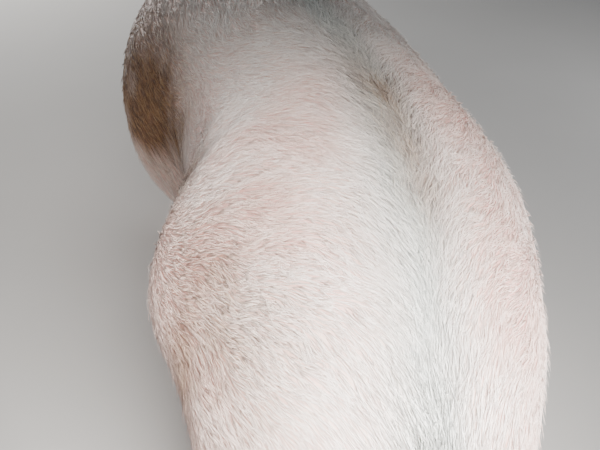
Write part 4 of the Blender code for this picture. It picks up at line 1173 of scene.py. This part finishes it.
def claw_mesh(foot, place):
    """Horn in two parameters: a rounded outline round each level, drawn in and back as the level rises."""
    low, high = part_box(f"claw_{foot}_{place}")
    x, y = (low.x + high.x) / 2, (low.y + high.y) / 2 - CLAW_LEAN * 0.59
    rise = np.concatenate([[0, 0, 0.03, 0.08], np.linspace(0.14, 1, 34), np.linspace(1.06, 1.28, 5)])
    rise = rise[:, None]
    angle = (2 * np.pi * np.arange(64) / 64)[None]
    edge = np.concatenate([[0.90, 0.955, 0.985], np.ones(len(rise) - 3)])[:, None]
    shrink = (1 - 0.10 * rise) * edge * (1 - 0.30 * np.maximum(rise - 1, 0))
    rings_of_growth = 1 + 0.010 * np.cos(2 * np.pi * 7.5 * rise + 1.2 * np.sin(angle)) * (rise < 1.02)
    along = CLAW_LENGTH / 2 * shrink * rings_of_growth * bulge(np.sin(angle), 2.2)
    along = along + CLAW_LEAN * (1 - np.minimum(rise, 1.1))
    toe = 1 - 0.30 * ramp(along, 0, CLAW_LENGTH / 2 + CLAW_LEAN)
    across = CLAW_WIDTH / 2 * (shrink + 0.06 * rise) * rings_of_growth * toe * bulge(np.cos(angle), 2.4)
    height = rise * (CORONET_HEIGHT + CORONET_SLOPE * along)
    height = np.where(rise == 0, 0.0, np.maximum(height, 0.0004))
    points = np.stack([x + across, y + along, height + 0 * across], axis=-1)
    points[0, :, 2] = 0.0008
    chips = noise(points.reshape(-1, 3), 0.006, 61).reshape(height.shape) - 0.5
    points[..., 1] += 0.0008 * chips * (1 - ramp(rise, 0.05, 0.4))
    mesh = tube_mesh(f"{foot}_{place}", points)
    levels = np.concatenate([np.repeat(rise[:, 0], 64), [0.0, 1.28]])
    write_value(mesh, "rise", levels)
    return mesh


def dewclaw_mesh(foot, place):
    """A small claw: rings along a line down and back, a little flattened, closed to a blunt rounded tip."""
    low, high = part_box(f"dewclaw_{foot}_{place}")
    middle = np.array((low + high) / 2)
    outward = (1 if place == "outer" else -1) * (1 if foot.endswith("right") else -1)
    way = unit(np.array((outward * 0.22, -0.50, -0.84)))
    share = np.concatenate([np.linspace(0, 0.9, 26), [0.94, 0.97, 0.99, 1.0]])
    path = middle + np.array((0, 0.006, 0.004)) + way * (DEWCLAW_LENGTH * (share - 0.55))[:, None]
    shape = np.interp(share, (0, 0.3, 0.6, 0.85, 0.95, 1.0), (1.0, 1.05, 0.92, 0.66, 0.45, 0.12))
    radii = DEWCLAW_RADIUS * shape * (1 + 0.018 * np.cos(2 * np.pi * 6 * share))
    across, up = tube_frames(path, (1.0, 0, 0))
    angle = 2 * np.pi * np.arange(36) / 36
    rings = path[:, None] + radii[:, None, None] * (
        np.cos(angle)[None, :, None] * across[:, None] * 0.92 + np.sin(angle)[None, :, None] * up[:, None]
    )
    mesh = tube_mesh(f"dewclaw_{foot}_{place}", rings)
    levels = np.concatenate([np.repeat(1 - share, 36), [1.0, 0.0]])
    write_value(mesh, "rise", levels)
    return mesh


def make_horn(horn):
    """Claws and dewclaws, each in the place of its solid."""
    for foot in FEET:
        for place in ("inner", "outer"):
            for kind, make in (("claw", claw_mesh), ("dewclaw", dewclaw_mesh)):
                mesh = make(foot, place)
                mesh.materials.append(horn)
                name = f"{kind}_{foot}_{place}"
                shown(new_object(f"horn_{name}", mesh), replaces=(name,))


def make_tassel(bristle):
    """Long hairs off the tail's last stretch: each leaves the skin, hangs down and waves a little."""
    draw = np.random.default_rng(19)
    path = smooth_path(tail_points(), TAIL_STEPS)
    count = TASSEL_HAIRS
    late = draw.random(count) ** 0.6
    at = (TASSEL_FROM + late * TASSEL_STEPS).astype(int)
    turn = 2 * np.pi * draw.random(count)
    down = unit(path[-1] - path[-12])
    side = unit(np.cross(down, (0, 1, 0)))
    front = np.cross(side, down)
    out = side * np.cos(turn)[:, None] + front * np.sin(turn)[:, None]
    start = path[at] + out * 0.0035
    t = np.linspace(0, 1, 6)
    length = TASSEL_LENGTH * draw.uniform(0.55, 1.08, count) * (0.75 + 0.25 * late)
    spread = TASSEL_SPREAD * draw.uniform(0.1, 1.0, count) ** 0.8
    wave = 0.0022 * np.sin(2 * np.pi * (t[None] * 1.1 + draw.random(count)[:, None])) * t[None]
    sway = unit(np.cross(out, down))
    centres = (
        start[:, None]
        + (t[None] * length[:, None])[..., None] * down
        + (t[None] ** 0.8 * spread[:, None])[..., None] * out[:, None]
        + wave[..., None] * sway[:, None]
    )
    facing = np.broadcast_to(out[:, None], centres.shape)
    widths = 0.00085 * draw.uniform(0.8, 1.2, (count, 1)) * (1 - 0.8 * t**2)[None]
    place = np.stack([turn, late], axis=1)
    return tuft_piece("tassel", centres, facing, widths, place, draw.random(count), start, bristle)


# ---- materials ----


def colour(code):
    """A linear colour from its sRGB hex code."""
    parts = [int(code[k : k + 2], 16) / 255 for k in (0, 2, 4)]
    return (*(p / 12.92 if p < 0.04045 else ((p + 0.055) / 1.055) ** 2.4 for p in parts), 1)


def new_material(name, **sockets):
    """A material with its Principled shader's own sockets set."""
    material = bpy.data.materials.new(name)
    material.use_nodes = True
    shader = material.node_tree.nodes["Principled BSDF"]
    for socket, value in sockets.items():
        shader.inputs[socket.replace("_", " ")].default_value = value
    return material, material.node_tree, shader


def add(tree, kind, links, **settings):
    """Adds a node: its settings are set, and each input is given a value or linked to an output."""
    made = tree.nodes.new(kind)
    for name, value in settings.items():
        setattr(made, name, value)
    for socket, value in links.items():
        if isinstance(value, bpy.types.NodeSocket):
            tree.links.new(value, made.inputs[socket])
        else:
            made.inputs[socket].default_value = value
    return made


def ramped(tree, factor, stops):
    """Colours along a ramp, as pairs of place and hex code."""
    made = add(tree, "ShaderNodeValToRGB", {"Fac": factor})
    steps = made.color_ramp.elements
    while len(steps) < len(stops):
        steps.new(0.5)
    for step, (place, code) in zip(steps, stops):
        step.position, step.color = place, colour(code)
    return made.outputs["Color"]


def living_pigskin():
    """Living pigskin, bare under thin white hair: pink where blood shows, paler over fat, matt and finely
    cross-wrinkled every 3 mm with a pore every 2 mm. It gives the coat its rosy ground."""
    material, tree, shader = new_material("Living pigskin, haired", Roughness=0.55, Subsurface_Weight=0.12)
    shader.inputs["Subsurface Radius"].default_value = (1.0, 0.45, 0.30)
    shader.inputs["Subsurface Scale"].default_value = 0.006
    at = add(tree, "ShaderNodeTexCoord", {}).outputs["Object"]
    soil_and_shade, blush, cool_shade = (
        add(tree, "ShaderNodeAttribute", {}, attribute_name=kind).outputs["Fac"]
        for kind in ("soil_and_shade", "blush", "cool_shade")
    )
    # Blood and fat change over about 80 mm, mottling over 9 mm
    broad = add(tree, "ShaderNodeTexNoise", {"Vector": at, "Scale": 12.0, "Detail": 3.0}).outputs["Fac"]
    mottle = add(tree, "ShaderNodeTexNoise", {"Vector": at, "Scale": 110.0, "Detail": 4.0}).outputs["Fac"]
    pink = ramped(tree, broad, ((0.32, "E3B9AD"), (0.52, "EAC9BE"), (0.70, "EDD5CB")))
    spots = ramped(tree, mottle, ((0.40, "D3A195"), (0.60, "F0DAD0")))
    plain = add(tree, "ShaderNodeMix", {0: 0.30, 6: pink, 7: spots}, data_type="RGBA").outputs[2]
    # Painted cool shade: grey mixed in along the spine and over the loin's top
    base = add(tree, "ShaderNodeMix", {0: cool_shade, 6: plain, 7: colour("CDC8C0")}, data_type="RGBA").outputs[2]
    rosy = add(tree, "ShaderNodeMix", {0: blush, 6: base, 7: colour("CC7F74")}, data_type="RGBA").outputs[2]
    half = add(tree, "ShaderNodeMix", {0: 0.45, 6: rosy, 7: base}, data_type="RGBA").outputs[2]
    streaks = add(tree, "ShaderNodeMapping", {"Vector": at, "Scale": (90.0, 90.0, 16.0)}).outputs[0]
    dirt = add(tree, "ShaderNodeTexNoise", {"Vector": streaks, "Scale": 1.0, "Detail": 3.0}).outputs["Fac"]
    earth_and_shade = ramped(tree, dirt, ((0.35, "4A3020"), (0.55, "785438"), (0.72, "9A7650")))
    # Brown mixed in: soil stains, and painted shade where the same mask darkens the hip's crease, the turning
    # left flank and the nostrils
    soiled = add(tree, "ShaderNodeMix", {0: soil_and_shade, 6: half, 7: earth_and_shade}, data_type="RGBA").outputs[2]
    pores = add(tree, "ShaderNodeTexVoronoi", {"Vector": at, "Scale": 480.0}).outputs["Distance"]
    wrinkles = add(
        tree, "ShaderNodeTexVoronoi", {"Vector": at, "Scale": 300.0}, feature="DISTANCE_TO_EDGE"
    ).outputs["Distance"]
    pore_bump = add(tree, "ShaderNodeBump", {"Height": pores, "Strength": 0.25, "Distance": 0.0006})
    bump = add(
        tree,
        "ShaderNodeBump",
        {"Height": wrinkles, "Strength": 0.45, "Distance": 0.0008, "Normal": pore_bump.outputs[0]},
    )
    tree.links.new(soiled, shader.inputs["Base Color"])
    tree.links.new(bump.outputs[0], shader.inputs["Normal"])
    wet = add(tree, "ShaderNodeMapRange", {"Value": blush, "To Min": 0.58, "To Max": 0.40}).outputs[0]
    tree.links.new(wet, shader.inputs["Roughness"])
    return material


def white_bristle():
    """White pig bristle, grown: keratin without pigment, so it is cream to clear white with a satin gloss,
    rosier at the root where the skin shines through, stained with the skin's own soil, and darkened by the
    skin's own painted shade: brown in the hip's crease, on the turning left flank and in the nostrils, and
    cool grey along the spine and over the loin's top."""
    material, tree, shader = new_material("White pig bristle", Roughness=0.42, IOR=1.55)
    tint, reach, soil_and_shade, blush, cool_shade = (
        add(tree, "ShaderNodeAttribute", {}, attribute_name=kind).outputs["Fac"]
        for kind in ("tint", "reach", "soil_and_shade", "blush", "cool_shade")
    )
    plain = ramped(tree, tint, ((0.0, "E4D6D1"), (0.35, "F1E8E4"), (0.8, "F9F4F2")))
    pink = ramped(tree, tint, ((0.0, "D9B5AB"), (0.5, "EBCFC7"), (1.0, "F5E2DC")))
    white = add(tree, "ShaderNodeMix", {0: blush, 6: plain, 7: pink}, data_type="RGBA").outputs[2]
    root = ramped(tree, reach, ((0.0, "EBCDC2"), (0.45, "F7EEE8"), (1.0, "FFFFFF")))
    rosy = add(tree, "ShaderNodeMix", {0: 1.0, 6: white, 7: root}, data_type="RGBA", blend_type="MULTIPLY")
    cool = ramped(tree, tint, ((0.0, "BDBFBA"), (0.5, "D6D8D3"), (1.0, "ECEDE8")))
    # Painted cool shade: grey mixed in along the spine and over the loin's top
    shaded = add(tree, "ShaderNodeMix", {0: cool_shade, 6: rosy.outputs[2], 7: cool}, data_type="RGBA")
    # Brown mixed in: soil stains, and painted shade in the hip's crease, on the turning left flank and in the
    # nostrils
    stain_and_shade = ramped(tree, tint, ((0.0, "4C3020"), (0.5, "79563A"), (1.0, "A17E58")))
    mixed = add(tree, "ShaderNodeMix", {0: soil_and_shade, 6: shaded.outputs[2], 7: stain_and_shade}, data_type="RGBA")
    tree.links.new(mixed.outputs[2], shader.inputs["Base Color"])
    return material


def claw_horn():
    """Pale claw horn, grown in rings and worn on the ground: waxy cream with brown streaks, darker towards
    the sole and dulled by soil."""
    material, tree, shader = new_material("Claw horn, worn", Roughness=0.45, Subsurface_Weight=0.05)
    shader.inputs["Subsurface Scale"].default_value = 0.003
    at = add(tree, "ShaderNodeTexCoord", {}).outputs["Object"]
    rise = add(tree, "ShaderNodeAttribute", {}, attribute_name="rise").outputs["Fac"]
    # Tubes of horn run down the wall, far finer in life: drawn about 1.4 mm apart so that they show
    wall = add(tree, "ShaderNodeMapping", {"Vector": at, "Scale": (700.0, 700.0, 60.0)}).outputs[0]
    streaks = add(tree, "ShaderNodeTexNoise", {"Vector": wall, "Scale": 1.0, "Detail": 3.0}).outputs["Fac"]
    stain = add(tree, "ShaderNodeTexNoise", {"Vector": at, "Scale": 95.0, "Detail": 4.0}).outputs["Fac"]
    tone = ramped(tree, streaks, ((0.30, "8C7256"), (0.50, "BFA684"), (0.72, "D9C6A8")))
    height = ramped(tree, rise, ((0.0, "6B5440"), (0.30, "B79E7E"), (0.80, "E0CDB4"), (1.0, "DDB2A0")))
    layered = add(tree, "ShaderNodeMix", {0: 0.55, 6: tone, 7: height}, data_type="RGBA").outputs[2]
    patchy = {"Value": stain, "From Min": 0.42, "From Max": 0.80, "To Max": 0.5}
    dirt = add(tree, "ShaderNodeMapRange", patchy).outputs[0]
    soiled = add(tree, "ShaderNodeMix", {0: dirt, 6: layered, 7: colour("5E432C")}, data_type="RGBA")
    wave = add(tree, "ShaderNodeMath", {0: rise, 1: 47.0}, operation="MULTIPLY").outputs[0]
    ridge = add(tree, "ShaderNodeMath", {0: wave}, operation="SINE").outputs[0]
    ring_bump = add(tree, "ShaderNodeBump", {"Height": ridge, "Strength": 0.25, "Distance": 0.0005})
    bump = add(
        tree,
        "ShaderNodeBump",
        {"Height": streaks, "Strength": 0.35, "Distance": 0.0006, "Normal": ring_bump.outputs[0]},
    )
    rough = add(tree, "ShaderNodeMapRange", {"Value": stain, "To Min": 0.36, "To Max": 0.62}).outputs[0]
    tree.links.new(soiled.outputs[2], shader.inputs["Base Color"])
    tree.links.new(rough, shader.inputs["Roughness"])
    tree.links.new(bump.outputs[0], shader.inputs["Normal"])
    return material


def wet_eye():
    """A wet eyeball: dark oval pupil, brown iris with fine spokes, dark rim and a narrow rosy white,
    under the clear gloss of tears."""
    material, tree, shader = new_material(
        "Wet eyeball", Roughness=0.18, Coat_Weight=1.0, Coat_Roughness=0.03, Coat_IOR=1.38
    )
    at = add(tree, "ShaderNodeTexCoord", {}).outputs["Object"]
    ring = add(tree, "ShaderNodeAttribute", {}, attribute_name="ring").outputs["Fac"]
    spokes = add(tree, "ShaderNodeTexNoise", {"Vector": at, "Scale": 900.0, "Detail": 2.0}).outputs["Fac"]
    shift = add(tree, "ShaderNodeMath", {0: spokes, 1: 0.10, 2: -0.05}, operation="MULTIPLY_ADD").outputs[0]
    moved = add(tree, "ShaderNodeMath", {0: ring, 1: shift}, operation="ADD").outputs[0]
    looks = ramped(
        tree,
        moved,
        (
            (0.00, "070504"),
            (0.27, "0A0706"),
            (0.31, "3B2415"),
            (0.50, "6A4528"),
            (0.60, "3A2417"),
            (0.66, "1E1410"),
            (0.74, "C9AFA0"),
            (0.95, "D9A99A"),
        ),
    )
    tree.links.new(looks, shader.inputs["Base Color"])
    return material


# ---- stage ----


def make_camera():
    """The photograph's camera: turned about the upright, tipped down and rolled a little."""
    camera = bpy.data.cameras.new("camera")
    camera.sensor_width = SENSOR
    camera.lens = CAMERA_LENS * SENSOR / PHOTO_WIDTH
    camera.clip_start = 0.01
    obj = new_object("camera", camera)
    turn, down, roll = CAMERA_TURN, CAMERA_DOWN, CAMERA_ROLL
    ahead = Vector((-math.sin(turn) * math.cos(down), math.cos(turn) * math.cos(down), -math.sin(down)))
    level = Vector((math.cos(turn), math.sin(turn), 0))
    above = level.cross(ahead)
    right = math.cos(roll) * level + math.sin(roll) * above
    up = -math.sin(roll) * level + math.cos(roll) * above
    matrix = Matrix((right, up, -ahead)).transposed().to_4x4()
    matrix.translation = CAMERA_PLACE
    obj.matrix_world = matrix
    bpy.context.scene.camera = obj


def make_light(name, place, target, size, power, tone, spread=math.pi):
    """A soft square light, its beam as wide as spread."""
    light = bpy.data.lights.new(name, "AREA")
    light.size = size
    light.energy = power
    light.color = tone
    light.spread = spread
    obj = new_object(name, light)
    obj.location = place
    obj.rotation_euler = (Vector(target) - Vector(place)).to_track_quat("-Z", "Y").to_euler()


def make_stage():
    """A flat plaster floor, soft room light, a lamp over the rump, and soft ones above, ahead and beside."""
    corners = FLOOR_REACH * np.array(((-1, -1, 0), (1, -1, 0), (1, 1, 0), (-1, 1, 0)), float)
    floor = new_object("floor", mesh_from("floor", corners, [np.arange(4)[None]]))
    material, tree, shader = new_material("Smooth plaster floor, pale", Roughness=0.85)
    at = add(tree, "ShaderNodeTexCoord", {}).outputs["Object"]
    cloud = add(tree, "ShaderNodeTexNoise", {"Vector": at, "Scale": 1.4, "Detail": 3.0}).outputs["Fac"]
    # Faint clouds about 700 mm across keep the floor from looking like paper
    pale = ramped(tree, cloud, ((0.3, "C6C4C0"), (0.7, "CCCAC6")))
    tree.links.new(pale, shader.inputs["Base Color"])
    floor.data.materials.append(material)
    world = bpy.data.worlds.new("Soft room light")
    world.use_nodes = True
    world.node_tree.nodes["Background"].inputs["Color"].default_value = (0.80, 0.86, 0.95, 1)
    world.node_tree.nodes["Background"].inputs["Strength"].default_value = 0.16
    bpy.context.scene.world = world
    make_light("key", (0.02, -1.15, 1.28), (-0.02, -0.93, 0.70), 0.35, 15, (1.0, 0.975, 0.945), 1.60)
    make_light("top", (0.4, 0.7, 3.2), (0.0, 0.1, 0.5), 2.6, 5, (0.82, 0.91, 1.0))
    make_light("front", (-1.4, 3.2, 1.1), (0.0, 0.6, 0.6), 2.0, 80, (1.0, 0.98, 0.96))
    make_light("right", (2.8, -0.3, 0.95), (0.0, 0.0, 0.5), 1.6, 45, (0.98, 0.98, 1.0))
    make_light("left", (-2.8, 0.1, 0.95), (0.0, 0.0, 0.5), 1.6, 30, (1.0, 0.97, 0.94))


skin = make_skin()
skin.data.materials.clear()
skin.data.materials.append(living_pigskin())
shown(skin, replaces=(*FLESH, "ear_left", "ear_right", "tail_root", "tail_loop"))
bristle = white_bristle()
for piece in make_coat(skin, bristle):
    shown(piece)
wet = wet_eye()
for name, side in SIDES.items():
    ball = eye_mesh(name, side)
    ball.materials.append(wet)
    shown(new_object(f"eyeball_{name}", ball), replaces=(f"eye_{name}",))
    shown(make_lashes(name, side, bristle))
make_horn(claw_horn())
shown(make_tassel(bristle), replaces=("tail_tip",))
make_camera()
make_stage()
